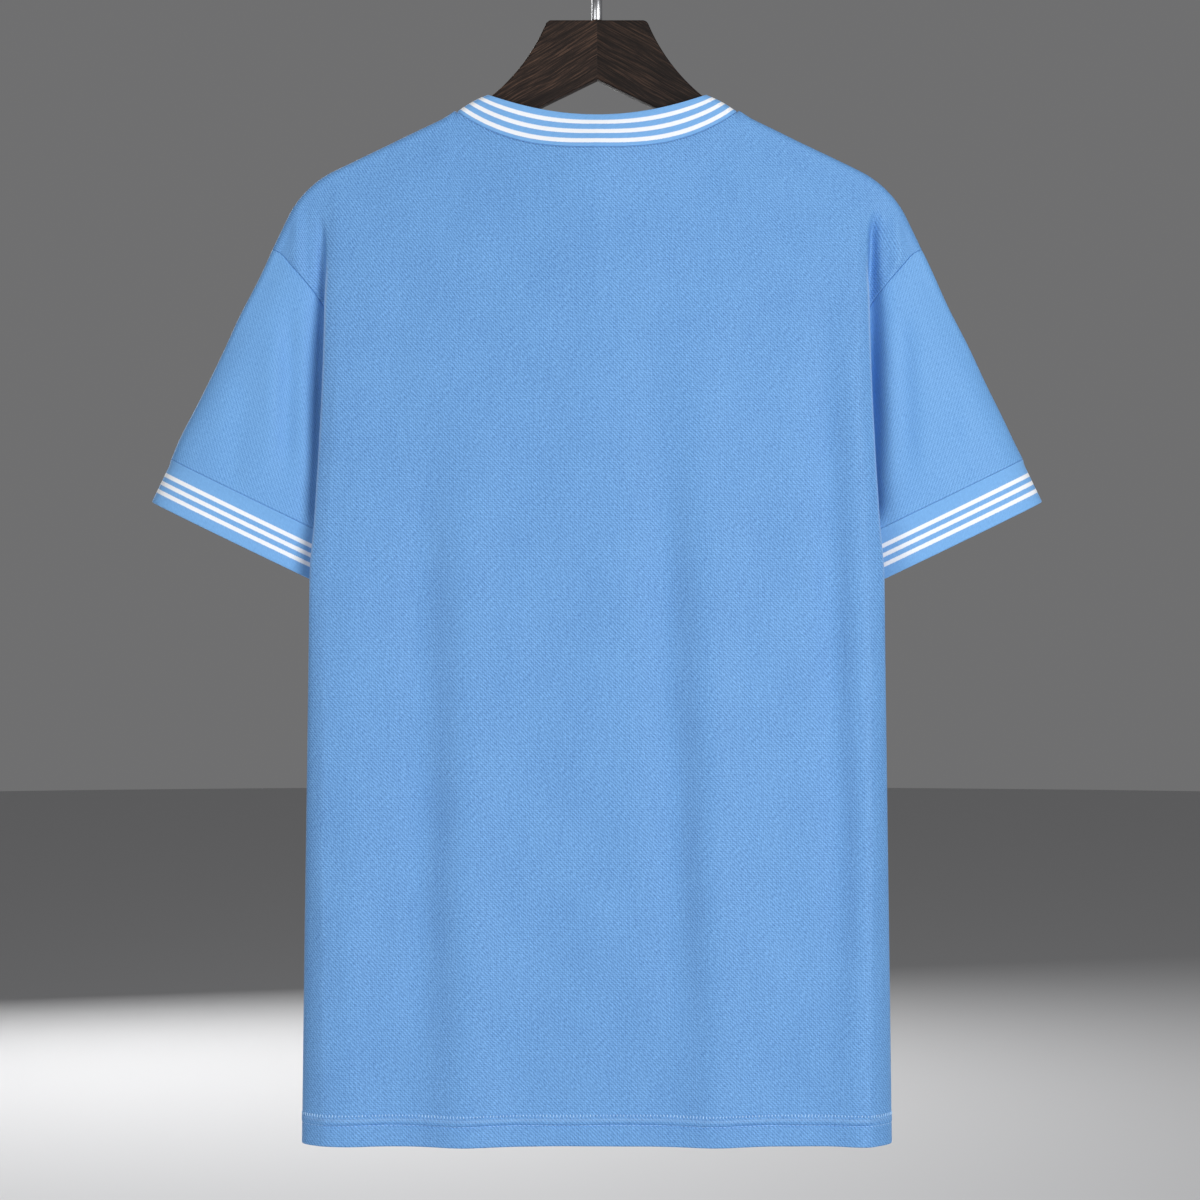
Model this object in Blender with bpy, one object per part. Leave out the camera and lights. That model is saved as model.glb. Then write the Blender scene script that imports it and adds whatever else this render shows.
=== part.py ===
"""A short-sleeved football jersey with striped rib trim, hung on a wooden hanger.

Metres, +Z up, +X to the wearer's left, the garment's back towards +Y and its front towards -Y.
The origin is the inside top of the hook, where it sits on its rail.

Each cloth piece is a wall round a middle surface, which is a grid of points. A panel is lofted through the
sections of the table SIDE: it is flat across, turns under in a fold at each side, and runs in to the armhole
or the side seam. A sleeve is lofted from the armhole to the cuff, and the collar from the neck seam to its
upper edge. Pieces that meet share their middle points and their normals along the seam.
"""

import math
from collections import defaultdict, namedtuple

import bmesh
import bpy
import numpy as np
from mathutils import Matrix

# ---------------------------------------------------------------- walls and seams
SEAM_GAP = 0.0003
CLOTH = 0.0014
RIB = 0.0018
HEM_TURNING = 0.0008
HEM_BAND = 0.0205
MITRE_LIMIT = 1.5

# ---------------------------------------------------------------- the shoulder ridge, seen from the back
NECK_X = 0.098
NECK_Z = -0.1362
SHOULDER_SLOPE = math.radians(25.7)
SLEEVE_SLOPE = math.radians(64.2)
RIDGE_CORNER_X = 0.2064
RIDGE_BEND = 0.025
SHOULDER_POINT_X = 0.228
EDGE_TOP_X = 0.186

# ---------------------------------------------------------------- depth of the body
ARCH_FLAT = 0.0028
ARCH_RADIUS = 0.0059
ARCH_DEPTH = ARCH_FLAT + ARCH_RADIUS
BODY_SPREAD = 0.047
SPREAD_DROP = 0.19
NECK_STAND = 0.008
NECK_STAND_X = 0.060
NECK_STAND_Z = 0.050
NECK_STAND_FADE = 0.020

# ---------------------------------------------------------------- neck and collar
BACK_NECK_DROP = 0.0268
BACK_NECK_POWER = 2.7
FRONT_NECK_DROP = 0.090
FRONT_NECK_POWER = 0.45
BACK_NECK_CORNER = 0.6
FRONT_NECK_CORNER = 1.0
NECK_CORNER_REACH = 0.050
COLLAR_TOP_X = 0.0765
COLLAR_TOP_Z = -0.1247
COLLAR_TOP_BACK_DROP = 0.0152
COLLAR_TOP_FRONT_DROP = 0.077
COLLAR_TOP_BACK_Y = 0.0185
COLLAR_TOP_FRONT_Y = 0.026
COLLAR_TOP_BACK_POWER = 0.45
COLLAR_TOP_FRONT_POWER = 0.30
COLLAR_BULGE = 0.0010

# ---------------------------------------------------------------- sleeve and cuff
SLEEVE_LENGTH = 0.1967
CUFF_LENGTH = 0.0330
CUFF_WIDTH = 0.145
CUFF_DEPTH = 0.026
CUFF_POWER = 2.5
CUFF_INSET = 0.0010
CUFF_ROWS = ((0.0, 0.0), (0.004, CUFF_INSET), (0.017, CUFF_INSET), (CUFF_LENGTH, CUFF_INSET))
SLEEVE_PULL = 0.55

# ---------------------------------------------------------------- hanger and hook
HEAD_TOP_Z = -0.0715
HEAD_HALF_WIDTH = 0.0365
HEAD_CORNER = 0.0045
FLANK_RADIUS = 0.131
FLANK_TOP_SLOPE = math.radians(67)
FLANK_FOOT_SLOPE = math.radians(30)
HANGER_DEPTH = 0.013
HANGER_ROUND = 0.004
HANGER_SEAT = CLOTH / 2 + SEAM_GAP
SEAT_START_X = 0.122
HANGER_TIP_X = 0.1945
TIP_RADIUS = 0.011
FERRULE_RADIUS = 0.0037
FERRULE_HEIGHT = 0.016
HOOK_WIRE = 0.0055
HOOK_INNER_RADIUS = 0.020
HOOK_START_ANGLE = math.radians(225)
HOOK_TIP_ANGLE = math.radians(-25)
HOOK_STEM_TOP = -0.052

# The lower edge of an arm of the hanger, from the joint at the middle to the straight arm.
LowerEdge = namedtuple("LowerEdge", "x z")
ARM_UNDERSIDE = (
    LowerEdge(0.009, -0.1160),
    LowerEdge(0.020, -0.1208),
    LowerEdge(0.029, -0.1258),
    LowerEdge(0.042, -0.1335),
    LowerEdge(0.070, -0.1515),
    LowerEdge(0.100, -0.1690),
)
NOTCH_Z = -0.1130
ARM_HEIGHT = 0.030
STRAIGHT_ARM_XS = (0.150, 0.125)

# ---------------------------------------------------------------- how finely the pieces are cut
NECK_COLUMNS = 8
SHOULDER_COLUMNS = 4
BODY_COLUMNS = NECK_COLUMNS + SHOULDER_COLUMNS
FOLD_STEPS = (3, 3, 2, 2)
SLEEVE_STEPS = 10
COLLAR_STEPS = 3

# One row for each section of the side, from the shoulder to the hem: where the flat of the panel ends, the
# tip of the fold, the layer under it, the way in to the seam, and the seam itself. Then how far down each of
# these drops towards the seam's height, the way on past the armhole, and how soon the flat's columns, spaced
# as the shoulder line is at the top, are evenly spaced.
SideRow = namedtuple("SideRow", "z edge_x tip_x tip_y under_x under_y mid_x mid_y seam_x seam_y seam_z")
SIDE = (
    SideRow(-0.200, 0.1820, 0.1915, 0.0115, 0.2005, 0.0112, 0.2100, 0.0108, 0.2195, 0.0098, -0.2385),
    SideRow(-0.220, 0.1780, 0.1885, 0.0150, 0.1950, 0.0122, 0.2040, 0.0125, 0.2130, 0.0120, -0.2460),
    SideRow(-0.245, 0.1775, 0.1885, 0.0185, 0.1910, 0.0128, 0.1970, 0.0127, 0.2040, 0.0130, -0.2565),
    SideRow(-0.270, 0.1790, 0.1895, 0.0220, 0.1880, 0.0155, 0.1885, 0.0122, 0.1925, 0.0118, -0.2720),
    SideRow(-0.288, 0.1797, 0.1897, 0.0245, 0.1873, 0.0180, 0.1858, 0.0142, 0.1850, 0.0106, -0.2868),
    SideRow(-0.305, 0.1805, 0.1900, 0.0265, 0.1862, 0.0205, 0.1820, 0.0167, 0.1785, 0.0110, -0.3020),
    SideRow(-0.340, 0.1815, 0.1910, 0.0305, 0.1840, 0.0250, 0.1700, 0.0206, 0.1655, 0.0120, -0.3370),
    SideRow(-0.373, 0.1825, 0.1925, 0.0335, 0.1845, 0.0280, 0.1590, 0.0225, 0.1550, 0.0105, -0.3720),
    SideRow(-0.385, 0.1830, 0.1931, 0.0343, 0.1850, 0.0288, 0.1545, 0.0225, 0.1500, 0.0065, -0.3845),
    SideRow(-0.395, 0.1835, 0.1937, 0.0350, 0.1855, 0.0295, 0.1520, 0.0220, 0.1450, 0.0000, -0.3950),
    SideRow(-0.425, 0.1850, 0.1955, 0.0370, 0.1865, 0.0310, 0.1530, 0.0225, 0.1470, 0.0000, -0.4250),
    SideRow(-0.464, 0.1875, 0.1984, 0.0395, 0.1895, 0.0330, 0.1625, 0.0235, 0.1565, 0.0000, -0.4640),
    SideRow(-0.510, 0.1880, 0.1988, 0.0405, 0.1910, 0.0325, 0.1700, 0.0215, 0.1645, 0.0000, -0.5100),
    SideRow(-0.570, 0.1885, 0.1995, 0.0415, 0.1935, 0.0315, 0.1775, 0.0195, 0.1720, 0.0000, -0.5700),
    SideRow(-0.650, 0.1885, 0.2005, 0.0420, 0.1965, 0.0300, 0.1840, 0.0165, 0.1790, 0.0000, -0.6500),
    SideRow(-0.750, 0.1880, 0.2017, 0.0425, 0.1995, 0.0285, 0.1900, 0.0135, 0.1855, 0.0000, -0.7500),
    SideRow(-0.855, 0.1875, 0.2028, 0.0430, 0.2010, 0.0270, 0.1932, 0.0115, 0.1890, 0.0000, -0.8550),
)
ARMPIT_Z = -0.395
HEM_Z = -0.855
SECTION_SHARES = (0, 0.12, 0.35, 0.68, 1)
INTO_SLEEVE = (0.004, -0.004, 0)
COLUMNS_SETTLE = 1.6

# One row for each soft vertical fold: its middle at the top and at the hem, how far it stands out at the hem,
# its half-width, and where it starts.
HangingFold = namedtuple("HangingFold", "top_x hem_x height half_width start_z")
BACK_FOLDS = (
    HangingFold(0.088, 0.084, 0.0085, 0.026, -0.300),
    HangingFold(0.168, 0.172, 0.0040, 0.016, -0.300),
    HangingFold(-0.078, -0.086, 0.0085, 0.027, -0.260),
    HangingFold(-0.170, -0.174, 0.0050, 0.015, -0.200),
)
FRONT_FOLDS = (
    HangingFold(0.030, 0.036, 0.0080, 0.026, -0.320),
    HangingFold(0.124, 0.128, 0.0065, 0.020, -0.280),
    HangingFold(-0.070, -0.064, 0.0085, 0.028, -0.300),
    HangingFold(-0.150, -0.156, 0.0060, 0.018, -0.260),
)
FOLD_GROWTH = 1.35
FOLD_GROWTH_POWER = 0.8

# The first rows of a panel, over the hanger's edge: how far out and down each one is, and its length of
# cloth. Then the heights of the rows down to the armpit and down to the hem.
ArchRow = namedtuple("ArchRow", "out down cloth")
ARCH = (ArchRow(0.0, 0.0, 0.0),) + tuple(
    ArchRow(
        ARCH_FLAT + ARCH_RADIUS * math.sin(turned),
        ARCH_RADIUS * (1 - math.cos(turned)),
        ARCH_FLAT + ARCH_RADIUS * turned,
    )
    for turned in (0, math.pi / 4, math.pi / 2)
)
SHOULDER_XS = (EDGE_TOP_X, 0.194, 0.205, 0.216, SHOULDER_POINT_X)
UPPER_ROWS = (-0.200, -0.220, -0.245, -0.270, -0.288, -0.305, -0.322, -0.340, -0.357, -0.373, -0.385,
              ARMPIT_Z)
HEM_FOLD_Z = HEM_Z + HEM_BAND
LOWER_ROWS = (-0.410, -0.427, -0.446, -0.466, -0.492, -0.522, -0.560, -0.608, -0.665, -0.728, -0.790,
              HEM_FOLD_Z, HEM_FOLD_Z - 0.0006, HEM_Z)

Piece = namedtuple("Piece", "name points faces outer inner")


# ---------------------------------------------------------------- curves
def hermite(t, start, end, leave, arrive):
    """The point at t, from 0 to 1, of a cubic with these ends and end tangents."""
    return ((1 + 2 * t) * (1 - t) ** 2 * start + t * t * (3 - 2 * t) * end
            + t * (1 - t) ** 2 * leave + t * t * (t - 1) * arrive)


def read_section(z):
    """The row of SIDE at a height between its rows. No value overshoots the rows on either side."""
    table = np.array(SIDE)[::-1]
    heights = table[:, 0]
    step = np.diff(heights)
    slope = np.diff(table, axis=0) / step[:, None]
    before, after = slope[:-1], slope[1:]
    inner = np.where(before * after > 0, 2 * before * after / (before + after + 1e-30), 0)
    tangent = np.concatenate([slope[:1], inner, slope[-1:]])
    i = min(int(np.searchsorted(heights, z, "right")) - 1, len(step) - 1)
    t = (z - heights[i]) / step[i]
    row = hermite(t, table[i], table[i + 1], step[i] * tangent[i], step[i] * tangent[i + 1])
    return SideRow(z, *row[1:])


def through(points, before, after, steps):
    """Points of a smooth curve through `points`, with a number of steps for each span.

    before and after are the neighbours past its two ends.
    """
    chain = np.array([before, *points, after], float)
    lengths = np.sqrt(np.linalg.norm(np.diff(chain, axis=0), axis=1))
    made = [chain[1]]
    for i, count in enumerate(steps, start=1):
        a, b, c = lengths[i - 1 : i + 2]
        p0, p1, p2, p3 = chain[i - 1 : i + 3]
        leave = b * ((p1 - p0) / a - (p2 - p0) / (a + b) + (p2 - p1) / b)
        arrive = b * ((p2 - p1) / b - (p3 - p1) / (b + c) + (p3 - p2) / c)
        for k in range(1, count + 1):
            made.append(hermite(k / count, p1, p2, leave, arrive))
    return np.array(made)


def shares_along(points):
    """How far along a chain of points each one is, from 0 to 1."""
    along = np.concatenate([[0], np.cumsum(np.linalg.norm(np.diff(points, axis=0), axis=1))])
    return along / along[-1]


# ---------------------------------------------------------------- the garment's form
def ridge(x):
    """(height, slope) of the shoulder ridge at x: a shoulder line, a bend over the tip, the sleeve."""
    corner_z = NECK_Z - (RIDGE_CORNER_X - NECK_X) * math.tan(SHOULDER_SLOPE)
    start = RIDGE_CORNER_X - RIDGE_BEND * math.cos(SHOULDER_SLOPE)
    end = RIDGE_CORNER_X + RIDGE_BEND * math.cos(SLEEVE_SLOPE)
    if x <= start:
        return NECK_Z - (x - NECK_X) * math.tan(SHOULDER_SLOPE), SHOULDER_SLOPE
    if x >= end:
        return corner_z - (x - RIDGE_CORNER_X) * math.tan(SLEEVE_SLOPE), SLEEVE_SLOPE
    radius = RIDGE_BEND / math.tan((SLEEVE_SLOPE - SHOULDER_SLOPE) / 2)
    centre_x = start - radius * math.sin(SHOULDER_SLOPE)
    centre_z = ridge(start)[0] - radius * math.cos(SHOULDER_SLOPE)
    slope = math.asin((x - centre_x) / radius)
    return centre_z + radius * math.cos(slope), slope


def depth(x, z):
    """How far the cloth hangs from the hanger's middle plane, before its vertical folds."""
    below = max(ridge(min(abs(x), EDGE_TOP_X))[0] - z, 0.0)
    if below < ARCH_RADIUS:
        return ARCH_FLAT + math.sqrt(ARCH_RADIUS**2 - (ARCH_RADIUS - below) ** 2)
    below -= ARCH_RADIUS
    hang = ARCH_DEPTH + BODY_SPREAD * (1 - math.exp(-below / SPREAD_DROP))
    stand = NECK_STAND * math.exp(-((x / NECK_STAND_X) ** 2) - ((z - NECK_Z) / NECK_STAND_Z) ** 2)
    return hang + stand * min(below / NECK_STAND_FADE, 1.0)


def hanging_folds(folds, x, z):
    """How far the soft vertical folds move the cloth out at x and z."""
    moved = 0.0
    for fold in folds:
        if z < fold.start_z:
            down = (z - fold.start_z) / (HEM_Z - fold.start_z)
            middle = fold.top_x + (fold.hem_x - fold.top_x) * down
            growth = min(1.0, FOLD_GROWTH * down) ** FOLD_GROWTH_POWER
            moved += fold.height * growth * math.exp(-(((x - middle) / fold.half_width) ** 2))
    return moved


def neck_seam(x, front):
    """(height, slope) of the neck seam at x, from the middle of the panel to the neck point."""
    share = min(x / NECK_X, 1.0)
    if front:
        left = max(1 - share**2, 1e-12)
        slope = FRONT_NECK_DROP * 2 * FRONT_NECK_POWER * share * left ** (FRONT_NECK_POWER - 1) / NECK_X
        return NECK_Z - FRONT_NECK_DROP * left**FRONT_NECK_POWER, math.atan(slope)
    slope = BACK_NECK_DROP * BACK_NECK_POWER * share ** (BACK_NECK_POWER - 1) / NECK_X
    return NECK_Z - BACK_NECK_DROP * (1 - share**BACK_NECK_POWER), math.atan(slope)


def neck_xs(columns):
    """Where a number of columns cross the neck seam, from the middle out: closer towards the neck point."""
    return [NECK_X * math.sqrt(1 - math.cos(math.pi / 2 * k / columns) ** 6) for k in range(columns + 1)]


def neck_columns(row, front):
    """The points of one of the first rows under the neck seam, from the middle to near the neck point.

    The row lies a length of cloth from the seam, and its points slide away from the neck point, where the
    seam turns into the shoulder ridge.
    """
    chain = [(x, depth(x, neck_seam(x, front)[0]), neck_seam(x, front)[0]) for x in neck_xs(200)[::-1]]
    along = np.concatenate([[0], np.cumsum(np.linalg.norm(np.diff(chain, axis=0), axis=1))])
    corner = FRONT_NECK_CORNER if front else BACK_NECK_CORNER
    points = []
    for k in range(NECK_COLUMNS):
        reached = np.interp(-neck_xs(NECK_COLUMNS)[k], [-point[0] for point in chain], along)
        reached += row.cloth * corner * max(0, 1 - reached / NECK_CORNER_REACH)
        x = np.interp(min(reached, along[-1]), along, [point[0] for point in chain])
        z, slope = neck_seam(x, front)
        slope = min(slope, math.pi / 2 - SHOULDER_SLOPE)
        x += row.cloth * math.sin(slope)
        z -= row.cloth * math.cos(slope)
        points.append((x, depth(x, z), z))
    return points, row.cloth * corner


def arch_row(row, front):
    """One of the first rows of half a panel, from its middle to the shoulder point."""
    points, lean = neck_columns(row, front)
    shoulder = [x + lean * (EDGE_TOP_X - x) / (EDGE_TOP_X - NECK_X)
                for x in np.linspace(NECK_X, EDGE_TOP_X, SHOULDER_COLUMNS + 1)]
    for (x0, x1), count in zip(zip(SHOULDER_XS, SHOULDER_XS[1:]), FOLD_STEPS):
        shoulder += [x0 + (x1 - x0) * k / count for k in range(1, count + 1)]
    for x in shoulder:
        z, slope = ridge(x)
        points.append((x - row.down * math.sin(slope), row.out, z - row.down * math.cos(slope)))
    return np.array(points)


def side_points(section, edge):
    """The points of one section past the flat of the panel: edge, fold, under layer, way in, seam."""
    flat = (
        (edge[0], edge[1]),
        (section.tip_x, section.tip_y),
        (section.under_x, section.under_y),
        (section.mid_x, section.mid_y),
        (section.seam_x, section.seam_y),
    )
    drop = section.seam_z - section.z
    return np.array([(x, y, section.z + drop * share) for (x, y), share in zip(flat, SECTION_SHARES)])


def half_panel(front, side):
    """The middle surface of half a panel, with y away from the body's middle: rows down, columns out."""
    folds = FRONT_FOLDS if front else BACK_FOLDS
    rows = [arch_row(row, front) for row in ARCH]
    start = rows[-1]
    edge_z = start[BODY_COLUMNS][2]
    for z in UPPER_ROWS + LOWER_ROWS:
        section = read_section(z)
        down = (edge_z - z) / (edge_z - ARMPIT_Z)
        row = []
        for i in range(BODY_COLUMNS + 1):
            even = section.edge_x * i / BODY_COLUMNS
            x = start[i][0] + (even - start[i][0]) * min(COLUMNS_SETTLE * down, 1)
            height = z if down > 1 else start[i][2] + (ARMPIT_Z - start[i][2]) * down
            row.append((x, depth(x, height) + hanging_folds(folds, side * x, height), height))
        turned = side_points(section, row[-1])
        past_seam = turned[-2] * (1, -1, 1) if z <= ARMPIT_Z else turned[-1] + INTO_SLEEVE
        rows.append(np.array(row + list(through(turned, row[-2], past_seam, FOLD_STEPS)[1:])))
    return np.array(rows)


def panel_grid(front):
    """The whole panel: rows down, columns from -X to +X."""
    right, left = half_panel(front, -1), half_panel(front, 1)
    grid = np.concatenate([right[:, :0:-1] * (-1, 1, 1), left], axis=1)
    return grid * (1, -1, 1) if front else grid


def cuff_line(along, shares, inset):
    """The back half of the ring round a sleeve, at a distance down its top edge."""
    down = np.array([math.cos(SLEEVE_SLOPE), 0, -math.sin(SLEEVE_SLOPE)])
    across = np.array([-math.sin(SLEEVE_SLOPE), 0, -math.cos(SLEEVE_SLOPE)])
    top = np.array([SHOULDER_POINT_X, 0, ridge(SHOULDER_POINT_X)[0]]) + along * down
    angles = np.linspace(0, math.pi, 361)
    wide = np.sign(np.cos(angles)) * np.abs(np.cos(angles)) ** (2 / CUFF_POWER)
    deep = np.abs(np.sin(angles)) ** (2 / CUFF_POWER)
    oval = np.stack([CUFF_WIDTH / 2 - (CUFF_WIDTH / 2 - inset) * wide, (CUFF_DEPTH - inset) * deep], axis=1)
    at = [np.interp(shares, shares_along(oval), oval[:, k]) for k in range(2)]
    return top + at[0][:, None] * across + at[1][:, None] * np.array([0, 1, 0])


def close_ring(half):
    """A ring made of its back half, +Y, and the mirror image of that half."""
    return np.concatenate([half, half[..., -2:0:-1, :] * (1, -1, 1)], axis=-2)


def sleeve_grid(armhole):
    """A sleeve's middle surface: rows from the armhole to the cuff, columns round it."""
    cuff = cuff_line(SLEEVE_LENGTH - CUFF_LENGTH, shares_along(armhole), 0)
    down = np.array([math.cos(SLEEVE_SLOPE), 0, -math.sin(SLEEVE_SLOPE)])
    span = cuff - armhole
    arrive = np.linalg.norm(span, axis=1)[:, None] * down
    leave = span * (1 - SLEEVE_PULL) + arrive * SLEEVE_PULL
    rows = [hermite(k / SLEEVE_STEPS, armhole, cuff, leave, arrive) for k in range(SLEEVE_STEPS + 1)]
    return close_ring(np.array(rows))


def cuff_grid(armhole, sleeve_end):
    """A cuff's middle surface, from the sleeve's last row to the open edge."""
    shares = shares_along(armhole)
    start = SLEEVE_LENGTH - CUFF_LENGTH
    rows = [close_ring(cuff_line(start + along, shares, inset)) for along, inset in CUFF_ROWS]
    return np.array([sleeve_end] + rows[1:])


def collar_top(share, front):
    """A point of the collar's upper edge, at a share of its half-width."""
    rise = math.sqrt(max(1 - share**2, 0.0))
    if front:
        return (COLLAR_TOP_X * share, -COLLAR_TOP_FRONT_Y * rise**COLLAR_TOP_FRONT_POWER,
                COLLAR_TOP_Z - COLLAR_TOP_FRONT_DROP * rise)
    return (COLLAR_TOP_X * share, COLLAR_TOP_BACK_Y * rise**COLLAR_TOP_BACK_POWER,
            COLLAR_TOP_Z - COLLAR_TOP_BACK_DROP * rise**2)


def collar_grid(back_seam, front_seam):
    """The collar's middle surface: rows from the neck seam to the upper edge, columns round the neck."""
    seam = np.concatenate([back_seam, front_seam[-2:0:-1]])
    fronts = [False] * len(back_seam) + [True] * (len(front_seam) - 2)
    top = np.array([collar_top(point[0] / NECK_X, front) for point, front in zip(seam, fronts)])
    way = np.linspace(0, 1, COLLAR_STEPS + 1)[:, None, None]
    return seam + (top - seam) * way + np.array([0, 0, COLLAR_BULGE]) * np.sin(math.pi * way)


# ---------------------------------------------------------------- from grids to walls
def cloth_piece(name, grid, thickness, ring=False, flip=False, turning=None):
    """A piece from its grid: quads that face outwards, and the wall's half-thickness each way."""
    rows, columns = grid.shape[:2]
    faces = []
    for j in range(rows - 1):
        for i in range(columns if ring else columns - 1):
            k = (i + 1) % columns
            quad = (j * columns + i, j * columns + k, (j + 1) * columns + k, (j + 1) * columns + i)
            faces.append(quad[::-1] if flip else quad)
    outer = np.full(rows * columns, thickness / 2)
    inner = outer if turning is None else outer + np.repeat(turning, columns)
    return Piece(name, grid.reshape(-1, 3).copy(), faces, outer, inner)


def unit(way):
    """A direction, one long."""
    return way / np.linalg.norm(way)


def place_key(point):
    """What two points at the same place have in common, to a thousandth of a millimetre."""
    return tuple(np.round(point, 6))


def shared_normals(pieces):
    """The cloth's outward direction at each place, the same for all the pieces that meet there.

    The two panels count as one piece where they meet a sleeve. The direction is longer where the cloth is
    creased, so that the wall keeps its thickness there.
    """
    facings = defaultdict(lambda: defaultdict(list))
    for piece in pieces:
        kind = piece.name.split("_")[-1]
        for face in piece.faces:
            corners = [piece.points[i] for i in face]
            facing = np.cross(corners[2] - corners[0], corners[3] - corners[1])
            for corner in corners:
                facings[place_key(corner)][kind].append(unit(facing))
    normals = {}
    for key, kinds in facings.items():
        normal = unit(sum(unit(sum(around)) for around in kinds.values()))
        agreement = np.mean([facing @ normal for around in kinds.values() for facing in around])
        normals[key] = normal / max(agreement, 1 / MITRE_LIMIT)
    return normals


def split(quad, points):
    """Two triangles of a quad, cut along its shorter diagonal."""
    a, b, c, d = quad
    if np.linalg.norm(points[a] - points[c]) <= np.linalg.norm(points[b] - points[d]):
        return [(a, b, c), (a, c, d)]
    return [(a, b, d), (b, c, d)]


def rim_triangles(a, b, points, count):
    """The wall's edge between two rim points, cut the same way in both pieces that meet there."""
    if place_key(points[a]) < place_key(points[b]):
        return [(b, a, b + count), (a, a + count, b + count)]
    return [(b, a, a + count), (b, a + count, b + count)]


def draw_back_rim(piece, rim, out):
    """The piece's middle points, with those on its rim drawn back by half the gap of a seam."""
    inward = defaultdict(list)
    for a, b in rim:
        for end in (a, b):
            inward[end].append(unit(np.cross(out[end], piece.points[b] - piece.points[a])))
    middle = piece.points.copy()
    for end, (first, second) in inward.items():
        middle[end] += SEAM_GAP / 2 * (first + second) / max(1 + first @ second, 0.6)
    return middle


def wall(piece, normals, collection, material):
    """The closed solid of a cloth piece: its middle surface moved out and in, and joined along its rim."""
    out = np.array([normals[place_key(point)] for point in piece.points])
    edges = {(face[k], face[(k + 1) % 4]) for face in piece.faces for k in range(4)}
    rim = sorted((a, b) for a, b in edges if (b, a) not in edges)
    middle = draw_back_rim(piece, rim, out)
    count = len(middle)
    build = bmesh.new()
    verts = [build.verts.new(point) for point in middle + out * piece.outer[:, None]]
    verts += [build.verts.new(point) for point in middle - out * piece.inner[:, None]]
    for quad in piece.faces:
        for a, b, c in split(quad, piece.points):
            build.faces.new((verts[a], verts[b], verts[c]))
            build.faces.new((verts[c + count], verts[b + count], verts[a + count]))
    for a, b in rim:
        for triangle in rim_triangles(a, b, piece.points, count):
            build.faces.new([verts[i] for i in triangle])
    return add(piece.name, finish_mesh(piece.name, build), collection, material)


def finish_mesh(name, build):
    """A mesh from a bmesh, shaded smooth but for its sharp edges."""
    mesh = bpy.data.meshes.new(name)
    build.to_mesh(mesh)
    build.free()
    mesh.shade_smooth()
    mesh.set_sharp_from_angle(angle=math.radians(50))
    return mesh


def add(name, data, collection, material):
    made = bpy.data.objects.new(name, data)
    collection.objects.link(made)
    data.materials.append(material)
    return made


def jersey_pieces():
    """The garment's cloth, piece by piece, as a maker cuts it."""
    back, front = panel_grid(False), panel_grid(True)
    heights = [0.0] * len(ARCH) + list(UPPER_ROWS + LOWER_ROWS)
    turning = [HEM_TURNING if z < HEM_FOLD_Z else 0.0 for z in heights]
    pieces = [
        cloth_piece("back_panel", back, CLOTH, turning=turning),
        cloth_piece("front_panel", front, CLOTH, flip=True, turning=turning),
    ]
    armhole = back[: len(ARCH) + len(UPPER_ROWS), -1]
    sleeve = sleeve_grid(armhole)
    cuff = cuff_grid(armhole, sleeve[-1])
    for name, side in (("left", 1), ("right", -1)):
        mirror = (side, 1, 1)
        pieces.append(cloth_piece(f"{name}_sleeve", sleeve * mirror, CLOTH, ring=True, flip=side > 0))
        pieces.append(cloth_piece(f"{name}_cuff", cuff * mirror, RIB, ring=True, flip=side > 0))
    middle = back.shape[1] // 2
    neck = slice(middle - NECK_COLUMNS, middle + NECK_COLUMNS + 1)
    collar = collar_grid(back[0, neck], front[0, neck])
    pieces.append(cloth_piece("collar", collar, RIB, ring=True, flip=True))
    return pieces


# ---------------------------------------------------------------- the hanger
def seat_z(x):
    """The height of the arm's upper edge, where the shoulder of the garment rests on it."""
    z, slope = ridge(x)
    return z - HANGER_SEAT / math.cos(slope)


def arc(centre_x, centre_z, radius, start, end, steps):
    """Points of an arc, its angles in degrees."""
    angles = [math.radians(start + (end - start) * k / steps) for k in range(steps + 1)]
    return [(centre_x + radius * math.cos(a), centre_z + radius * math.sin(a)) for a in angles]


def arm_outline():
    """The outline of one arm of the hanger: from the joint over head and shoulder, round the tip, back."""
    points = [(SEAM_GAP / 2, HEAD_TOP_Z)]
    corner_x, corner_z = HEAD_HALF_WIDTH - HEAD_CORNER, HEAD_TOP_Z - HEAD_CORNER
    points += arc(corner_x, corner_z, HEAD_CORNER, 90, 90 - math.degrees(FLANK_TOP_SLOPE), 3)
    flank_x, flank_z = points[-1]
    flank_x += FLANK_RADIUS * math.sin(FLANK_TOP_SLOPE)
    flank_z += FLANK_RADIUS * math.cos(FLANK_TOP_SLOPE)
    first, last = 270 - math.degrees(FLANK_TOP_SLOPE), 270 - math.degrees(FLANK_FOOT_SLOPE)
    points += arc(flank_x, flank_z, FLANK_RADIUS, first, last, 7)[1:]
    tip_x = HANGER_TIP_X - TIP_RADIUS
    over_tip = tip_x + TIP_RADIUS * math.sin(SHOULDER_SLOPE)
    tip_z = seat_z(over_tip) - TIP_RADIUS * math.cos(SHOULDER_SLOPE)
    points.append((SEAT_START_X, seat_z(SEAT_START_X)))
    points += arc(tip_x, tip_z, TIP_RADIUS, 90 - math.degrees(SHOULDER_SLOPE), -100, 6)
    for x in STRAIGHT_ARM_XS:
        points.append((x, seat_z(x) - ARM_HEIGHT))
    points += [tuple(point) for point in ARM_UNDERSIDE[::-1]]
    points.append((SEAM_GAP / 2, NOTCH_Z))
    return points


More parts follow.
